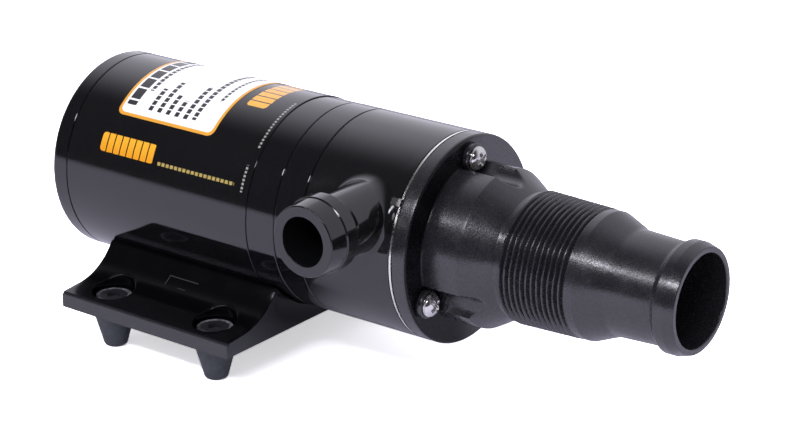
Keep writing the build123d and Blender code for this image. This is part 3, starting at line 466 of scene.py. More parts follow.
def laminated():
    """Sheets stacked along the shaft, one to the millimetre, with a fine dark line between them."""
    steel = (0.33, 0.33, 0.34)
    finish = metal("core_sheets", steel, 0.35, 0.55)
    line = finish.dashes(finish.wrapped()[0], 1.0, 0.25)
    return finish.set(Base_Color=finish.mix(line, steel, scaled(steel, 0.4)))


def wound():
    """Enamelled copper wire: strands side by side, seen as fine bands."""
    finish = Finish("winding_wire")
    lean = finish.split(finish.place)[0] * 900.0 + finish.wrapped()[1]
    share = finish.spread(finish.math("SINE", lean * 9.0), -1.0, 1.0, 0.0, 1.0)
    tone = finish.mix(share, (0.16, 0.045, 0.018), (0.5, 0.17, 0.07))
    finish.set(Base_Color=tone, Metallic=0.65, Roughness=0.32)
    return finish.bump(share, 0.00012)


def wrap_print():
    """Gloss black wrap. Plain blocks stand where it carries marks, and short dashes where it carries
    small print."""
    finish = gloss_black("printed_wrap")
    place = finish.wrapped()
    along, around = place
    blocks = finish.area(place, (-40.3, -12.8, 20.2, 31.0), 1.4) * finish.dashes(along + 40.3, 3.45, 0.84)
    upper = finish.area(place, (14.5, 24.0, 69.0, 112.0), 1.6)
    upper *= finish.dashes(around - 69.0 * SLEEVE_DEGREE, 3.72, 0.84)
    line = finish.area(place, (-11.0, 27.5, 20.3, 22.2), 0.2) * finish.dashes(along, 2.1, 0.72)
    side = finish.area(place, (31.0, 32.0, 18.0, 33.0), 0.1)
    rim = finish.area(place, (32.4, 33.4, 43.0, 80.0), 0.1)
    small = finish.most(side, rim) * finish.dashes(around, 1.5, 0.6)
    fade = finish.spread(around, 16.5 * SLEEVE_DEGREE, 31.0 * SLEEVE_DEGREE, 0.0, 1.0)
    orange = finish.mix(fade, (0.78, 0.30, 0.012), (0.86, 0.42, 0.03))
    tone = finish.mix(finish.noise(40.0), (0.0035, 0.0035, 0.0045), (0.006, 0.006, 0.007))
    tone = finish.mix(finish.most(blocks, upper), tone, orange)
    tone = finish.mix(line, tone, (0.42, 0.32, 0.10))
    return finish.set(Base_Color=finish.mix(small, tone, (0.30, 0.30, 0.28)))


LABEL_BOX = (-38.2, 10.3, 43.0, 137.0)
LABEL_LIFT = 0.17
LABEL_EDGE_LIFT = 0.14
LABEL_UNDER = 0.02


def panel_print():
    """White panel with an orange border, whose paper glows faintly as painted light. Plain bars and
    dashed rules stand where it carries words: each is (low, high, start, end, corner, pitch, share),
    in millimetres along and degrees round."""
    finish = Finish("label_print")
    place = finish.wrapped()
    low, high, start, end = LABEL_BOX
    edge = 1.3
    inner = (low + edge, high - edge, start * SLEEVE_DEGREE + edge, end * SLEEVE_DEGREE - edge)
    inside = finish.plate(place, inner, 2.2, 0.15)
    rows = [(-35.9, -31.2, 50.0, 130.0, 0.55, 6.2, 0.86), (-29.8, -28.0, 62.0, 118.0, 0.2, 2.3, 0.78)]
    for number, row_end in enumerate((66.0, 74.0, 64.0, 61.0, 76.0)):
        row_low = -24.6 + 4.4 * number
        rows.append((row_low, row_low + 2.0, 49.0, row_end, 0.2, 2.6, 0.8))
    rows += [(-2.8, -0.8, 50.0, 112.0, 0.2, 2.4, 0.8), (3.2, 4.6, 66.0, 114.0, 0.2, 2.0, 0.75)]
    bars = [finish.area(place, row[:4], row[4]) * finish.dashes(place[1], *row[5:]) for row in rows]
    ink = finish.most(*bars)
    paper = finish.mix(finish.noise(60.0, 3.0), (0.93, 0.93, 0.93), (0.88, 0.88, 0.88))
    border = finish.mix(finish.noise(80.0), (0.82, 0.40, 0.04), (0.74, 0.33, 0.03))
    tone = finish.mix(ink, finish.mix(inside, border, paper), (0.03, 0.03, 0.032))
    # Painted light: the paper, outside the print, glows faintly.
    painted_glow = inside * finish.math("SUBTRACT", 1.0, ink)
    finish.set(Emission_Color=(1.0, 1.0, 1.0), Emission_Strength=painted_glow * 0.1)
    finish.set(Base_Color=tone, Roughness=finish.polish(0.28, 0.36, 200.0, 2.0))
    return finish.bump(finish.noise(500.0), 0.000004)


# Motor


def turned_piece(name, corners, finish, node):
    """Closed profile of (x, radius, round) turned about the shaft."""
    profile = refined(rounded(corners, closed=True), 6.0, True)
    piece(name, [patch(turned(profile), True, True)], finish, [node])


def motor_pieces(paint, wrap):
    """Can, wrap and front cover. The cover's profile runs from its rebate on the can forward along
    its outside, back through the bearing's seat, round its hollow and along its spigot."""
    back, front, inner = -56.6, 47.8, CAN_R - CAN_WALL
    can = [(back, CAN_R, 0.3), (front, CAN_R, 0.45), (front, inner, 0.2), (back, inner, 0.2)]
    turned_piece("motor_shell", can, paint, "motor_can")
    wrap_back, wrap_front = -56.1, 34.8
    sleeve = [(wrap_back, SLEEVE_R, 0.18), (wrap_front, SLEEVE_R, 0.18)]
    sleeve += [(wrap_front, CAN_R), (wrap_back, CAN_R)]
    turned_piece("motor_wrap", sleeve, wrap, "label_sleeve")
    nose, spigot = 60.0, 43.8
    rebate = front + 0.45
    bell = [(front, BODY_R - 0.5), (rebate, BODY_R - 0.5), (rebate, BODY_R, 0.4), (nose, BODY_R, 0.35)]
    bell += [(nose, 9.5, 0.2), (58.5, 9.5), (58.5, 13.0), (50.5, 13.0), (50.5, 13.6), (49.3, 13.6)]
    bell += [(49.3, 13.0), (front, 13.0, 0.3), (front, 17.0, 0.3), (55.8, 17.0, 0.5), (55.8, 28.0, 0.5)]
    bell += [(front, 28.0, 0.3), (front, 34.45), (spigot, 34.45, 0.3), (spigot, 36.85, 0.3), (front, 36.85)]
    turned_piece("front_cover", bell, paint, "front_end_bell")


def label_piece(finish):
    """Label panel: a rounded rectangle, drawn as nested copies of its outline, laid round the wrap."""
    low, high, start, end = LABEL_BOX
    half_a = (high - low) / 2
    half_b = SLEEVE_R * math.radians(end - start) / 2
    corners = [(a * half_a, b * half_b, 3.0) for a, b in ((1, -1), (1, 1), (-1, 1), (-1, -1))]
    outline = refined(rounded(corners, closed=True, step=8.0), 2.0, True)
    share = np.concatenate([np.linspace(0.02, 0.94, 20), [0.975, 0.99, 1.0]])
    sheet = outline[None] * share[:, None, None]
    x = (low + high) / 2 + sheet[..., 0]
    angle = math.radians((start + end) / 2) + sheet[..., 1] / SLEEVE_R
    lift = np.concatenate([np.full(len(share) - 1, LABEL_LIFT), [LABEL_EDGE_LIFT]])[:, None]
    top = round_shaft(x, SLEEVE_R + lift, angle)
    under = round_shaft(x, SLEEVE_R + LABEL_UNDER, angle)
    sides = patch(np.concatenate([top, under[::-1]]), False, True)
    piece("label_sheet", [sides, cap(top[0]), cap(under[0][::-1])], finish, ["label_panel"])


# Pump housing and its outlet

PORT_X = 85.2
PORT_RISE = 14.3
PORT_BORE = 9.0
CHAMBER_R = 27.5
CAM_RISE = 2.2
BLEND_LEAST = 2
BLEND_GROWTH = 5
HOUSING_BACK = 60.95
HOUSING_EDGE = 100.1
HOUSING_FRONT = 100.5
CHAMBER_BACK = 71.3
CHAMBER_FLOOR = 70.9


def port_ring(phi):
    """Where a ball, rolled along the foot of the outlet, touches the outlet and the housing.
    The ball's centre lies off the outlet's profile by the ball's radius, and as far off the housing's
    cylinder. The first such place, coming from the tip, is where the blend starts."""
    ball = BLEND_LEAST + BLEND_GROWTH * np.clip(np.sin(phi) + 0.1, 0, 1) ** 2
    slope = unit(np.gradient(PORT_OUTSIDE, axis=0))
    away = np.column_stack([slope[:, 1], -slope[:, 0]])
    middle = PORT_OUTSIDE + ball[:, None, None] * away
    height = PORT_RISE + middle[..., 1] * np.sin(phi)[:, None]
    gap = np.hypot(height, middle[..., 0]) - (BODY_R + ball[:, None])
    hit = np.argmax(gap <= 0, axis=1)
    rows = np.arange(len(phi))
    before = gap[rows, hit - 1]
    share = before / (before - gap[rows, hit])
    return ball, hit - 1 + share, between(middle[rows, hit - 1], middle[rows, hit], share[:, None])


def port_points(points, phi):
    """Points of (distance off the shaft's line towards -Y, radius) on spokes about the outlet's axis."""
    reach, spoke = points[..., 0], points[..., 1]
    up = AXIS + PORT_RISE + spoke * np.sin(phi)
    return np.stack([PORT_X + spoke * np.cos(phi), -reach + 0 * phi, up], axis=-1)


def port_angle(points, radius):
    """Angle about the outlet's axis of points of (x, angle) at a radius about the shaft."""
    return np.unwrap(np.arctan2(radius * np.sin(points[:, 1]) - PORT_RISE, points[:, 0] - PORT_X))


def chamber_radius(angle):
    """Chamber wall: a circle, cut over the top by the same circle lowered by the cam's rise."""
    low = -CAM_RISE * np.sin(angle) + np.sqrt(CHAMBER_R**2 - (CAM_RISE * np.cos(angle)) ** 2)
    return np.minimum(CHAMBER_R, low)


PORT_OUTSIDE = [(67.2, 10.6), (67.2, 13.0, 0.5), (59.6, 13.6, 0.15), (59.2, 14.05, 0.25), (54.0, 14.1, 0.8)]
PORT_OUTSIDE = refined(rounded(PORT_OUTSIDE + [(50.8, 12.15, 1.0), (0.0, 12.1)]), 0.25)
PORT_MOUTH = rounded([(63.0, PORT_BORE), (67.2, PORT_BORE, 0.35), (67.2, 10.6)])
PORT_ROOT = 50.0


def pump_housing_piece(finish):
    """Housing as one closed skin. The wall is a cylinder with a window, the chamber a radius that
    changes with the angle, and the outlet a profile turned about its own axis and rolled into the
    wall by a ball. Rows run from the chamber's window through the bore, round the tip, down the
    outside and over the blend to the wall's window."""
    window = np.radians(np.linspace(-26.0, 80.0, 54))
    rest = np.linspace(window[-1], window[0] + 2 * math.pi, 122)
    wall_xs = np.linspace(HOUSING_BACK, HOUSING_EDGE, 41)
    room_xs = np.linspace(CHAMBER_BACK, HOUSING_EDGE, 41)
    outer = border(wall_xs, window)
    inner = border(room_xs, window)
    phi = port_angle(outer, BODY_R)
    phi_in = port_angle(inner, chamber_radius(inner[:, 1]))

    height = PORT_RISE + PORT_BORE * np.sin(phi_in)
    depth = np.sqrt(CHAMBER_R**2 - (height + CAM_RISE) ** 2)
    hole = np.column_stack([PORT_X + PORT_BORE * np.cos(phi_in), np.arctan2(height, depth)])
    room = between(inner, hole, np.linspace(0, 1, 5)[:, None, None])
    room_rows = round_shaft(room[..., 0], chamber_radius(room[..., 1]), room[..., 1])

    bore_phi = between(phi_in, phi, shares(10))
    bore = np.dstack([between(depth, PORT_MOUTH[0, 0], shares(10)), np.full(bore_phi.shape, PORT_BORE)])
    bore_rows = port_points(bore, bore_phi)
    mouth_rows = port_points(PORT_MOUTH[1:, None], phi)

    ball, mark, middle = port_ring(phi)
    steps = np.arange(len(PORT_OUTSIDE))
    common = int(np.argmax(PORT_OUTSIDE[:, 0] < PORT_ROOT))
    tip_rows = port_points(PORT_OUTSIDE[1:common, None], phi)
    marks = common + np.linspace(0, 1, 40)[:, None] * (mark - common)
    root_rows = port_points(at_marks(PORT_OUTSIDE, marks, steps), phi)

    centre = port_points(middle, phi)
    first = (port_points(at_marks(PORT_OUTSIDE, mark, steps), phi) - centre) / ball[:, None]
    second = unit((SHAFT - centre) * [0, 1, 1])
    turn = np.arccos(np.clip((first * second).sum(axis=1), -1, 1))[:, None]
    blend_rows = centre + swung(first, second, turn, shares(13)[..., None]) * ball[:, None]

    foot = blend_rows[-1]
    foot = np.column_stack([foot[:, 0], np.arctan2(foot[:, 2] - AXIS, -foot[:, 1])])
    wall = between(foot, outer, shares(9)[..., None])
    wall_rows = round_shaft(wall[..., 0], BODY_R, wall[..., 1])
    rows = np.concatenate([room_rows, bore_rows, mouth_rows, tip_rows, root_rows, blend_rows, wall_rows])
    wall_rest = round_shaft(wall_xs[:, None], BODY_R, rest)
    room_rest = round_shaft(room_xs[:, None], chamber_radius(rest), rest)

    around = np.concatenate([window, rest[1:-1]])[None]
    chamber = chamber_radius(around)
    front = [(HOUSING_EDGE, BODY_R), (HOUSING_FRONT, BODY_R, 0.3), (HOUSING_FRONT, 28.0)]
    lip = round_shaft(HOUSING_FRONT, chamber + 0.3, around)
    edge = round_shaft(HOUSING_EDGE, chamber, around)
    face = np.concatenate([rings(rounded(front, support=0.1), around), lip, edge])

    back = [(CHAMBER_FLOOR, 26.0), (CHAMBER_FLOOR, 11.0), (64.9, 11.0), (64.9, 8.5), (63.9, 8.5)]
    back += [(63.9, 14.0), (60.0, 14.0), (60.0, BODY_R - 0.5), (60.5, BODY_R - 0.5), (60.5, BODY_R, 0.35)]
    back = rounded(back + [(HOUSING_BACK, BODY_R)], support=0.1)
    floor_edge = round_shaft(CHAMBER_BACK, chamber, around)
    floor = round_shaft(CHAMBER_FLOOR, chamber - 0.4, around)
    rear = np.concatenate([floor_edge, floor, rings(back, around)])
    shells = [patch(rows, False, True), patch(wall_rest), patch(room_rest), patch(face, False, True)]
    piece("housing_skin", shells + [patch(rear, False, True)], finish, ["pump_housing"])


# Inlet housing

FLANGE_BACK = 102.0
FLANGE_FRONT = 107.9
FLANGE_FLAT_R = 36.8
FILLET_R = 0.6
INLET_BODY_R = 29.5
INLET_BORE_R = 22.0
CHANNEL_R = 6.6
THREAD_START = 136.3
THREAD_END = 164.3
THREAD_PITCH = 2.209
THREAD_CREST = 24.4
THREAD_DEPTH = 1.6
THREAD_FLAT = 0.13
THREAD_FLANK = 0.79
THREAD_TAPER = 32
THREAD_FADE = 1.3
NO_CHANNEL = 99.0
COLLAR_R = 23.0
BAND_R = 23.3


def channel_wall(angle):
    """Radius at which a spoke from the shaft meets the nearest screw channel, large where none does."""
    nearest = np.full(angle.shape, NO_CHANNEL)
    for degrees in SCREW_ANGLES:
        offset = (angle - math.radians(degrees) + math.pi) % (2 * math.pi) - math.pi
        inside = CHANNEL_R**2 - (SCREW_CIRCLE * np.sin(offset)) ** 2
        met = (inside > 0) & (np.abs(offset) < 0.5)
        wall = SCREW_CIRCLE * np.cos(offset) - np.sqrt(np.maximum(inside, 0))
        nearest = np.where(met, wall, nearest)
    return nearest


def thread_radius(x, angle):
    """Tapered helical thread: the height falls from a narrow crest to the root, along x less the
    pitch for each turn, and fades into the collar and the band at its ends."""
    phase = ((x - THREAD_START) / THREAD_PITCH - angle / (2 * math.pi)) % 1.0
    away = np.abs(phase - 0.5) * 2
    height = 1 - np.clip((away - THREAD_FLAT) / THREAD_FLANK, 0, 1)
    crest = THREAD_CREST - (x - THREAD_START) / THREAD_TAPER
    radius = crest - THREAD_DEPTH * (1 - height)
    begun = smooth_step(x, THREAD_START - 0.1, THREAD_START + THREAD_FADE)
    ended = smooth_step(x, THREAD_END + 0.1, THREAD_END - THREAD_FADE)
    radius = COLLAR_R + (radius - COLLAR_R) * begun
    return BAND_R + (radius - BAND_R) * ended


def inlet_angles():
    """Angles round the inlet housing, close together at the screw channels."""
    marks = [np.arange(0.0, 360.0, 3.0)]
    for degrees in SCREW_ANGLES:
        marks.append(degrees + np.arange(-17.0, 17.5, 0.85))
    return np.radians(np.unique(np.round(np.concatenate(marks) % 360.0, 2)))


def inlet_housing_piece(finish):
    """Inlet housing as one closed skin: flange, body, cone, thread, barb, mouth and bore in rows of
    (x, radius), with the lesser of the profile and the screw channels, and three bosses."""
    angle = inlet_angles()[None]
    channel = channel_wall(angle)
    rim = [(FLANGE_BACK, INLET_BORE_R), (FLANGE_BACK, BODY_R, 0.4)]
    rim += [(FLANGE_FRONT, BODY_R, 1.5), (FLANGE_FRONT, FLANGE_FLAT_R)]
    rim_rows = rings(refined(rounded(rim, step=10.0), 2.5), angle)
    inner = smooth_least(INLET_BODY_R, channel, 0.5)
    face_rows = round_shaft(FLANGE_FRONT, between(FLANGE_FLAT_R, inner + FILLET_R, shares(8)), angle)
    turn = np.radians(np.linspace(0, 90, 6))[1:, None]
    heel_x = FLANGE_FRONT + FILLET_R * (1 - np.cos(turn))
    heel_rows = round_shaft(heel_x, inner + FILLET_R * (1 - np.sin(turn)), angle)
    body = [(108.8, INLET_BODY_R), (123.3, INLET_BODY_R, 1.0), (134.3, COLLAR_R, 1.2)]
    body = refined(rounded(body + [(THREAD_START - 0.15, COLLAR_R)], step=8.0), 0.7)
    body_rows = round_shaft(body[:, :1], smooth_least(body[:, 1:], channel, 0.5), angle)
    along = np.linspace(THREAD_START, THREAD_END, 168)[:, None]
    thread_rows = round_shaft(along, thread_radius(along, angle), angle)
    spout = [(THREAD_END + 0.15, BAND_R), (167.3, BAND_R, 0.5), (177.1, 19.2, 5.0), (195.2, 18.4, 1.0)]
    spout += [(197.4, 20.2, 0.5), (200.9, 20.2, 0.5), (204.8, 19.0, 0.45), (204.8, 16.9, 0.5)]
    spout += [(133.0, 16.9, 3.0), (126.0, INLET_BORE_R, 3.0), (FLANGE_BACK, INLET_BORE_R)]
    spout_rows = rings(refined(rounded(spout, step=10.0), 2.2), angle)
    rows = np.concatenate([rim_rows, face_rows, heel_rows, body_rows, thread_rows, spout_rows[:-1]])
    shells = [patch(rows, True, True)]
    boss = rounded([(-0.5, 0.01), (-0.5, 5.3), (2.4, 5.3, 0.55), (2.4, 0.01)], step=30.0, support=0.1)
    for centre in round_shaft(FLANGE_FRONT, SCREW_CIRCLE, np.radians(SCREW_ANGLES)):
        ring = turned(boss, 64, centre)
        shells.extend([patch(ring, False, True), cap(ring[0]), cap(ring[-1])])
    piece("inlet_skin", shells, finish, ["inlet_housing"])


SCREW_SEAT = 110.3
SCREW_HEAD_R = 4.3
SCREW_RIM = 0.9
SCREW_DOME = 2.1
SCREW_SHANK_R = 2.0
SCREW_LEANS = (20.0, 65.0, 38.0)
RECESS_DEPTH = 1.6


def cover_screw_pieces(finish):
    """Pan-head screws: a low dome with a cross recess that gets shallower along its arms, and a
    shank. The dome's angles start at +Y, and each cross leans by its own angle."""
    shells = []
    spread = np.concatenate([np.linspace(0.02, 2.9, 34), np.linspace(3.0, SCREW_HEAD_R, 16)])[:, None]
    angle = np.linspace(0, 2 * math.pi, 96, endpoint=False)
    dome = SCREW_RIM + SCREW_DOME * np.maximum(1 - (spread / SCREW_HEAD_R) ** 2.3, 0) ** 0.55
    shank = [(SCREW_RIM, SCREW_HEAD_R), (0.0, SCREW_HEAD_R, 0.25), (0.0, SCREW_SHANK_R)]
    shank = rounded(shank + [(-59.0, SCREW_SHANK_R, 0.4), (-59.3, 1.4)], support=0.1)
    centres = round_shaft(SCREW_SEAT, SCREW_CIRCLE, np.radians(SCREW_ANGLES))
    for centre, lean in zip(centres, np.radians(SCREW_LEANS)):
        beside = np.abs(spread * np.cos(angle - lean))
        above = np.abs(spread * np.sin(angle - lean))
        long_side = np.maximum(beside, above)
        short_side = np.minimum(beside, above)
        arm = smooth_step(short_side, 0.78, 0.42) * smooth_step(long_side, 2.65, 2.25)
        hub = smooth_step(spread, 1.35, 0.9)
        recess = np.maximum(arm * (RECESS_DEPTH - 0.32 * long_side), hub * RECESS_DEPTH)
        top = np.stack([dome - recess, spread * np.cos(angle), spread * np.sin(angle)], axis=-1) + centre
        side = turned(shank, 96, centre)
        shells.extend([patch(top, False, True), cap(top[0]), patch(side, False, True), cap(side[-1])])
        shells.append(patch(np.stack([top[-1], side[0]]), False, True))
    piece("cover_screw_set", shells, finish, ["cover_screws"], sharp=50.0)


# Mounting base

BASE_HALF_X = 42.1
BASE_HALF_Y = 59.2
BASE_LOW = 15.4
BASE_FLOOR = 18.9
SHELF_END = (49.6, 22.3)
ARC_END = (31.4, 33.4)
SADDLE_R = 39.4
EDGE_ROUND = 0.45
WINDOW_HALF = 10.4
WINDOW_OUTER = 57.3
WINDOW_INNER = 36.6
POCKET_R = 8.2
NECK_R = 5.2
FOOT_X = 25.8
FOOT_Y = 47.3


def base_section():
    """Half of the base's top from the outer edge to the middle, as points of (distance from the
    middle, height): edge, step, sloping shelf, arc up to the lip, lip, and the saddle's circle."""
    edge = [(BASE_HALF_Y, BASE_LOW), (BASE_HALF_Y, 20.6, 0.2), (BASE_HALF_Y - 0.8, 20.65, 0.12)]
    edge = rounded(edge + [(BASE_HALF_Y - 0.8, 21.47, 0.3), SHELF_END], support=0.12)
    slope = np.array([-9.6, 0.9]) / math.hypot(9.6, 0.9)
    start = np.array(SHELF_END)
    chord = ARC_END - start
    normal = np.array([slope[1], -slope[0]])
    radius = (chord @ chord) / (2 * (chord @ normal))
    centre = start + normal * radius
    first = start - centre
    last = ARC_END - centre
    turn = math.acos(np.clip(first @ last / radius**2, -1, 1))
    arc = centre + swung(first, last, turn, shares(22))
    lip = rounded([tuple(arc[-1]), (30.4, 34.1, 0.25), (29.95, 34.1)], support=0.1)
    across = np.linspace(29.7, 0, 24)
    saddle = np.column_stack([across, AXIS - np.sqrt(SADDLE_R**2 - across**2)])
    return np.vstack([refined(edge, 1.2), arc, lip[1:], saddle])


def end_face(ring, count_top, edge_count):
    """Flat end of the base: strips between top points and the underside points below them, and one
    small face at each edge, where the underside has no points of its own."""
    faces = []
    for step in range(len(ring) - count_top - 1):
        above = count_top - 1 - edge_count - step
        faces.append([count_top + step, count_top + step + 1, above - 1, above])
    faces.append(list(range(count_top - 1 - edge_count, count_top + 1)))
    faces.append([len(ring) - 1] + list(range(edge_count + 1)))
    return ring, faces


def upright(centre, radius, angle, height):
    """Points at a height, at a radius and an angle about an upright line through (x, y)."""
    x = centre[0] + radius * np.cos(angle)
    y = centre[1] + radius * np.sin(angle)
    return np.stack(np.broadcast_arrays(x, y, height), axis=-1)


def mounting_base_piece(finish):
    """Base as one closed skin: its section carried along X, drawn in at both ends by the edge round,
    with each foot's pocket as rings from a square window down the wall, across the floor, through
    the neck's hole and out to a window in the underside."""
    half = base_section()
    top = np.vstack([half * [-1, 1], half[-2::-1]])
    band_low = int(np.argmin(np.abs(half[:, 0] - WINDOW_OUTER)))
    band_high = int(np.argmin(np.abs(half[:, 0] - WINDOW_INNER)))
    across = np.concatenate([-half[band_low:, 0], half[-2 : band_low - 1 : -1, 0]])
    under = np.column_stack([across[::-1], np.full(len(across), BASE_LOW)])
    loop = np.vstack([top, under])
    ahead = np.roll(loop, -1, axis=0) - loop
    behind = loop - np.roll(loop, 1, axis=0)
    along = unit(unit(ahead) + unit(behind))
    inward = np.column_stack([along[:, 1], -along[:, 0]])

    window = np.linspace(-WINDOW_HALF, WINDOW_HALF, 17)
    near = FOOT_X - WINDOW_HALF
    far = FOOT_X + WINDOW_HALF
    flat = BASE_HALF_X - EDGE_ROUND
    outside = np.linspace(far, flat, 4)[1:]
    between_feet = np.linspace(-near, near, 13)[1:-1]
    xs = np.concatenate([-outside[::-1], window - FOOT_X, between_feet, window + FOOT_X, outside])
    bevel = np.radians(np.linspace(0, 90, 6))[1:]
    draw = EDGE_ROUND * (1 - np.cos(bevel))
    reach = flat + EDGE_ROUND * np.sin(bevel)
    stations = np.concatenate([-reach[::-1], xs, reach])
    insets = np.concatenate([draw[::-1], np.zeros(len(xs)), draw])
    outline = loop[:, None] + inward[:, None] * insets[None, :, None]
    grid = np.dstack([np.broadcast_to(stations, outline.shape[:2]), outline])

    keep = np.ones((len(loop), len(stations) - 1), bool)
    shells = []
    size = band_high - band_low
    well = [(POCKET_R, BASE_FLOOR + 0.5), (POCKET_R, BASE_FLOOR, 0.4), (NECK_R, BASE_FLOOR, 0.2)]
    well = rounded(well + [(NECK_R, BASE_LOW, 0.25), (NECK_R + 0.3, BASE_LOW)], support=0.1)[1:]
    for side in (-1, 1):
        upper_low = band_low if side < 0 else len(top) - 1 - band_high
        upper = np.arange(upper_low, upper_low + size + 1)
        height_at = (top[upper, 0], top[upper, 1])
        lower_low = len(loop) - 1 - size if side < 0 else len(top)
        lower = np.arange(lower_low, lower_low + size + 1)[::-1]
        for sign in (-1, 1):
            left = int(np.argmin(np.abs(stations - (sign * FOOT_X - WINDOW_HALF))))
            columns = np.arange(left, left + len(window))
            keep[np.ix_(upper[:-1], columns[:-1])] = False
            keep[np.ix_(lower[:0:-1], columns[:-1])] = False
            centre = np.array([sign * FOOT_X, side * FOOT_Y])
            plans = []
            for edge, radius in ((upper, POCKET_R + EDGE_ROUND), (lower, NECK_R + 0.3)):
                index = border(edge[::-1], columns)
                ring = grid[index[:, 0], index[:, 1], :2]
                angle = np.arctan2(ring[:, 1] - centre[1], ring[:, 0] - centre[0])
                circle = upright(centre, radius, angle, 0.0)[:, :2]
                plans.append((between(ring, circle, np.linspace(0, 1, 7)[:, None, None]), angle))
            (upper_plan, angle), (lower_plan, lower_angle) = plans
            upper_rows = np.dstack([upper_plan, np.interp(upper_plan[..., 1], *height_at)])
            lower_rows = np.dstack([lower_plan, np.full(lower_plan.shape[:2], BASE_LOW)])
            turn = bevel[:, None]
            rim = upright(centre, POCKET_R + EDGE_ROUND * (1 - np.sin(turn)), angle, 0.0)
            rim[..., 2] = np.interp(rim[..., 1], *height_at) - EDGE_ROUND * (1 - np.cos(turn))
            wall = upright(centre, POCKET_R, angle, between(rim[-1, :, 2], BASE_FLOOR + 0.5, shares(6)))
            swing = np.unwrap(angle)
            swing_low = np.unwrap(lower_angle)
            swing_low += 2 * math.pi * round((swing[0] - swing_low[0]) / (2 * math.pi))
            well_angle = between(swing, swing_low, np.linspace(0, 1, len(well))[:, None])
            floor = upright(centre, well[:, :1], well_angle, well[:, 1:])
            rows = np.concatenate([upper_rows, rim, wall, floor, lower_rows[-2::-1]])
            shells.append(patch(rows, False, True))
    shells.append(patch(grid, True, False, keep))
    for end in (grid[:, 0], grid[:, -1]):
        shells.append(end_face(end, len(top), band_low))
    piece("base_skin", shells, finish, ["mounting_base"], sharp=55.0)


# Brush springs

BRUSH_X = -42.50
SPRING_START = 23.95
SPRING_HEIGHT = 7.5
SPRING_R = 1.8
SPRING_WIRE_R = 0.35
SPRING_TURNS = 4


def brush_spring_pieces(finish):
    """Coil springs: a round wire carried along a helix, whose rings stand square to the wire. Each one
    gets a mesh of its own."""
    turn = np.linspace(0, 2 * math.pi * SPRING_TURNS, 48 * SPRING_TURNS + 1)[:, None, None]
    around = np.linspace(0, 2 * math.pi, 14, endpoint=False)[None, :, None]
    rise = SPRING_HEIGHT / (2 * math.pi * SPRING_TURNS)
    spoke = np.concatenate([np.cos(turn), np.sin(turn), 0 * turn], axis=-1)
    tangent = [-SPRING_R * np.sin(turn), SPRING_R * np.cos(turn), 0 * turn + rise]
    ahead = unit(np.concatenate(tangent, axis=-1))
    across = np.cross(ahead, spoke)
    middle = SPRING_R * spoke + np.concatenate([0 * turn, 0 * turn, SPRING_START + rise * turn], axis=-1)
    wire = middle + SPRING_WIRE_R * (np.cos(around) * spoke + np.sin(around) * across)
    for name, side in (("upper", 1), ("lower", -1)):
        rows = wire * [1, side, side] + [BRUSH_X, 0.0, AXIS]
        shells = [patch(rows, False, True), cap(rows[0]), cap(rows[-1])]
        coil = piece(f"{name}_spring_wire", shells, finish, [f"brush_spring_{name}"])
        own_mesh(coil)


# Everything on the frame


def dress(finish, *nodes):
    """Gives CAD nodes, whose shape stays, a finish."""
    for node in nodes:
        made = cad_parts[node]
        if not made.material_slots:
            made.data.materials.append(finish.material)
        for place in made.material_slots:
            place.material = finish.material


paint = gloss_black("black_paint_film")
spring = metal("spring_wire", (0.5, 0.5, 0.51), 0.2, 0.32)
motor_pieces(paint, wrap_print())
label_piece(panel_print())
pump_housing_piece(gloss_black("black_housing_film", (0.004, 0.0042, 0.0048), 0.07, 0.13, 0.00006))
inlet_housing_piece(moulded_black())
cover_screw_pieces(metal("screw_steel", (0.74, 0.72, 0.7), 0.1, 0.22, 1500.0))
mounting_base_piece(base_black())
brush_spring_pieces(spring)

seal_rubber = dull("seal_rubber_skin", (0.012, 0.012, 0.012), 0.4, 0.6)
vane_rubber = dull("vane_rubber_skin", (0.018, 0.018, 0.018), 0.35, 0.55, 350.0)
gasket = dull("gasket_fibre", (0.03, 0.028, 0.026), 0.6, 0.8, 900.0, 0.00004)
magnet = dull("magnet_ceramic", (0.05, 0.05, 0.055), 0.45, 0.65, 300.0, 0.00004)
board = dull("card_laminate", (0.2, 0.09, 0.04), 0.35, 0.55, 260.0)
carbon = dull("brush_carbon", (0.022, 0.022, 0.024), 0.3, 0.5, 900.0)
resin = dull("hub_resin", (0.07, 0.025, 0.015), 0.35, 0.5)
breaker = dull("breaker_case", (0.03, 0.03, 0.035), 0.3, 0.45)
zinc = metal("zinc_coat", (0.6, 0.6, 0.57), 0.25, 0.42)
ground = metal("ground_steel", (0.66, 0.66, 0.67), 0.12, 0.24, 1200.0, (1.0, 8.0, 8.0))
brass = metal("brass", (0.72, 0.5, 0.2), 0.2, 0.34, 600.0)
copper = metal("bar_copper", (0.78, 0.38, 0.22), 0.18, 0.32, 900.0, (1.0, 9.0, 9.0))

dress(paint, "rear_end_bell")
dress(seal_rubber, "lead_grommet", "shaft_seal")
dress(zinc, "through_bolts", "brush_card_screws", "base_screws")
dress(breaker, "thermal_protector")
dress(magnet, "magnets")
dress(board, "brush_card")
dress(brass, "brush_holders", "impeller_insert")
dress(carbon, "brush_upper", "brush_lower")
dress(spring, "wave_washer", "front_bearing_circlip", "shaft_snap_ring")
for end in ("rear", "front"):
    dress(ground, *[f"{end}_bearing_{part}" for part in ("outer_ring", "inner_ring", "balls", "cage")])
dress(ground, "shaft", "impeller_drive_pin")
dress(laminated(), "armature_core")
dress(wound(), "armature_windings")
dress(resin, "commutator_hub")
dress(copper, "commutator_segments")
dress(vane_rubber, "impeller", "slinger")
dress(gasket, "housing_gasket", "inlet_gasket")
dress(edge_steel(), "wear_plate", "cutter_blade", "cutter_lock_washer", "cutter_nut")
feet = [f"rubber_foot_{end}_{side}" for end in ("front", "back") for side in ("left", "right")]
dress(foot_rubber(), *feet)


# Studio


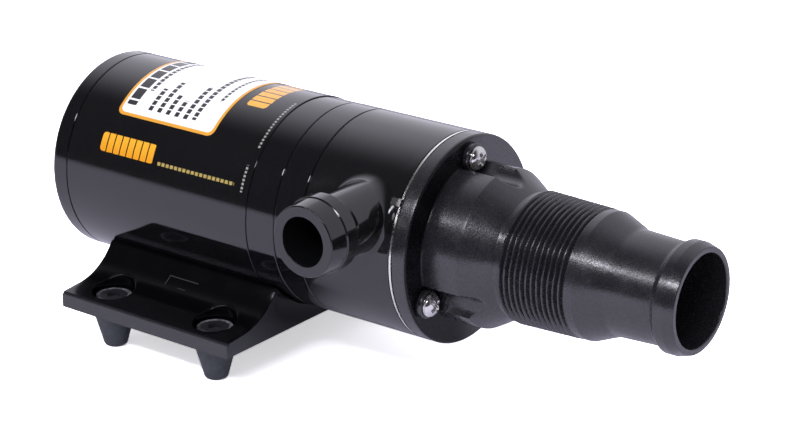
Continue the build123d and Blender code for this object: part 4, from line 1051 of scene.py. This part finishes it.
def studio_floor():
    """Pale floor that keeps the shadow and reads as white to the camera. In reflections it is cool
    white near the pump and falls dark far out on the outlet's side, where the room is dark."""
    bpy.ops.mesh.primitive_plane_add(size=14.0, location=(0, 0, 0))
    floor = bpy.context.object
    floor.name = "studio_floor"
    material = bpy.data.materials.new("studio_floor")
    material.use_nodes = True
    nodes = Nodes(material.node_tree)
    direct = nodes.get("LightPath", output="Is Camera Ray")
    paper = nodes.get("BsdfDiffuse", {"Color": nodes.spread(direct, 0.0, 1.0, 0.84, 2.3)})
    seen = nodes.get("Emission", {"Strength": direct * 0.47})
    sheet = nodes.get("AddShader", [paper, seen])
    across = nodes.split(nodes.get("TexCoord", output="Object"))[1]
    mirrored = nodes.get("BsdfDiffuse", {"Color": (0.95, 0.93, 1.06)})
    dark = nodes.get("Emission", {"Strength": 0.1})
    far = nodes.get("MixShader", [nodes.spread(across, -1.1, -0.4, 0.0, 1.0), dark, mirrored])
    glossy = nodes.get("LightPath", output="Is Glossy Ray")
    nodes.node("OutputMaterial", [nodes.get("MixShader", [glossy, sheet, far])])
    floor.data.materials.append(material)


def studio_world():
    """Soft pale room. The camera sees white; reflections see a white sweep behind the pump that
    falls to a dark room in front of it."""
    world = bpy.data.worlds.new("studio")
    bpy.context.scene.world = world
    world.use_nodes = True
    nodes = Nodes(world.node_tree)
    along, across, _ = nodes.split(nodes.get("TexCoord", output="Generated"))
    sweep = nodes.spread(across, -0.24, 0.52, 0.085, 1.38) * nodes.spread(along, -0.56, -0.4, 1.0, 0.62)
    direct, through, glossy = [
        nodes.get("LightPath", output=f"Is {kind} Ray") for kind in ("Camera", "Transmission", "Glossy")
    ]
    straight = nodes.most(direct, through)
    plain = nodes.math("SUBTRACT", 1.0, nodes.most(straight, glossy))
    strength = glossy * sweep + straight * 1.1 + plain * 0.6
    glow = nodes.get("Background", {"Color": (0.97, 0.955, 1.07), "Strength": strength})
    nodes.node("OutputWorld", [glow])


def place_object(made, location, towards):
    """Puts a lamp or a camera in the scene, looking along a direction."""
    made.location = location
    made.rotation_euler = Vector(towards).to_track_quat("-Z", "Y").to_euler()
    bpy.context.scene.collection.objects.link(made)


def area_light(name, location, target, size, power, mirrored):
    """Lamp of (width, height) that looks at a point, all in metres."""
    lamp = bpy.data.lights.new(name, "AREA")
    lamp.energy = power
    lamp.shape = "RECTANGLE"
    lamp.size, lamp.size_y = size
    lamp.color = (0.97, 0.955, 1.06) if mirrored else (1.0, 1.0, 1.0)
    made = bpy.data.objects.new(name, lamp)
    place_object(made, location, Vector(target) - Vector(location))
    made.visible_glossy = mirrored
    made.visible_camera = False


def camera():
    """The photograph's camera, in metres and degrees."""
    lens = bpy.data.cameras.new("camera")
    lens.sensor_width = 36.0
    lens.sensor_fit = "HORIZONTAL"
    lens.lens = 107.5
    lens.clip_end = 100.0
    azimuth = math.radians(37.243)
    rise = math.radians(20.646)
    back = Vector((math.sin(azimuth) * math.cos(rise), -math.cos(azimuth) * math.cos(rise), math.sin(rise)))
    made = bpy.data.objects.new("camera", lens)
    place_object(made, (0.57586, -0.65713, 0.36966), -back)
    bpy.context.scene.camera = made


studio_floor()
studio_world()
area_light("overhead", (0.0, 0.1, 1.6), (0.05, 0.0, 0.05), (2.2, 2.2), 5.0, False)
area_light("front_key", (0.35, -0.75, 1.3), (0.08, 0.0, 0.05), (1.3, 1.3), 3.6, False)
area_light("near_strip", (-0.11, -0.66, 0.65), (-0.11, 0.0, 0.065), (0.66, 0.09), 2.4, True)
area_light("near_strip_right", (0.36, -0.66, 0.65), (0.36, 0.0, 0.065), (0.28, 0.09), 1.6, True)
camera()
bpy.context.scene.view_settings.view_transform = "Standard"
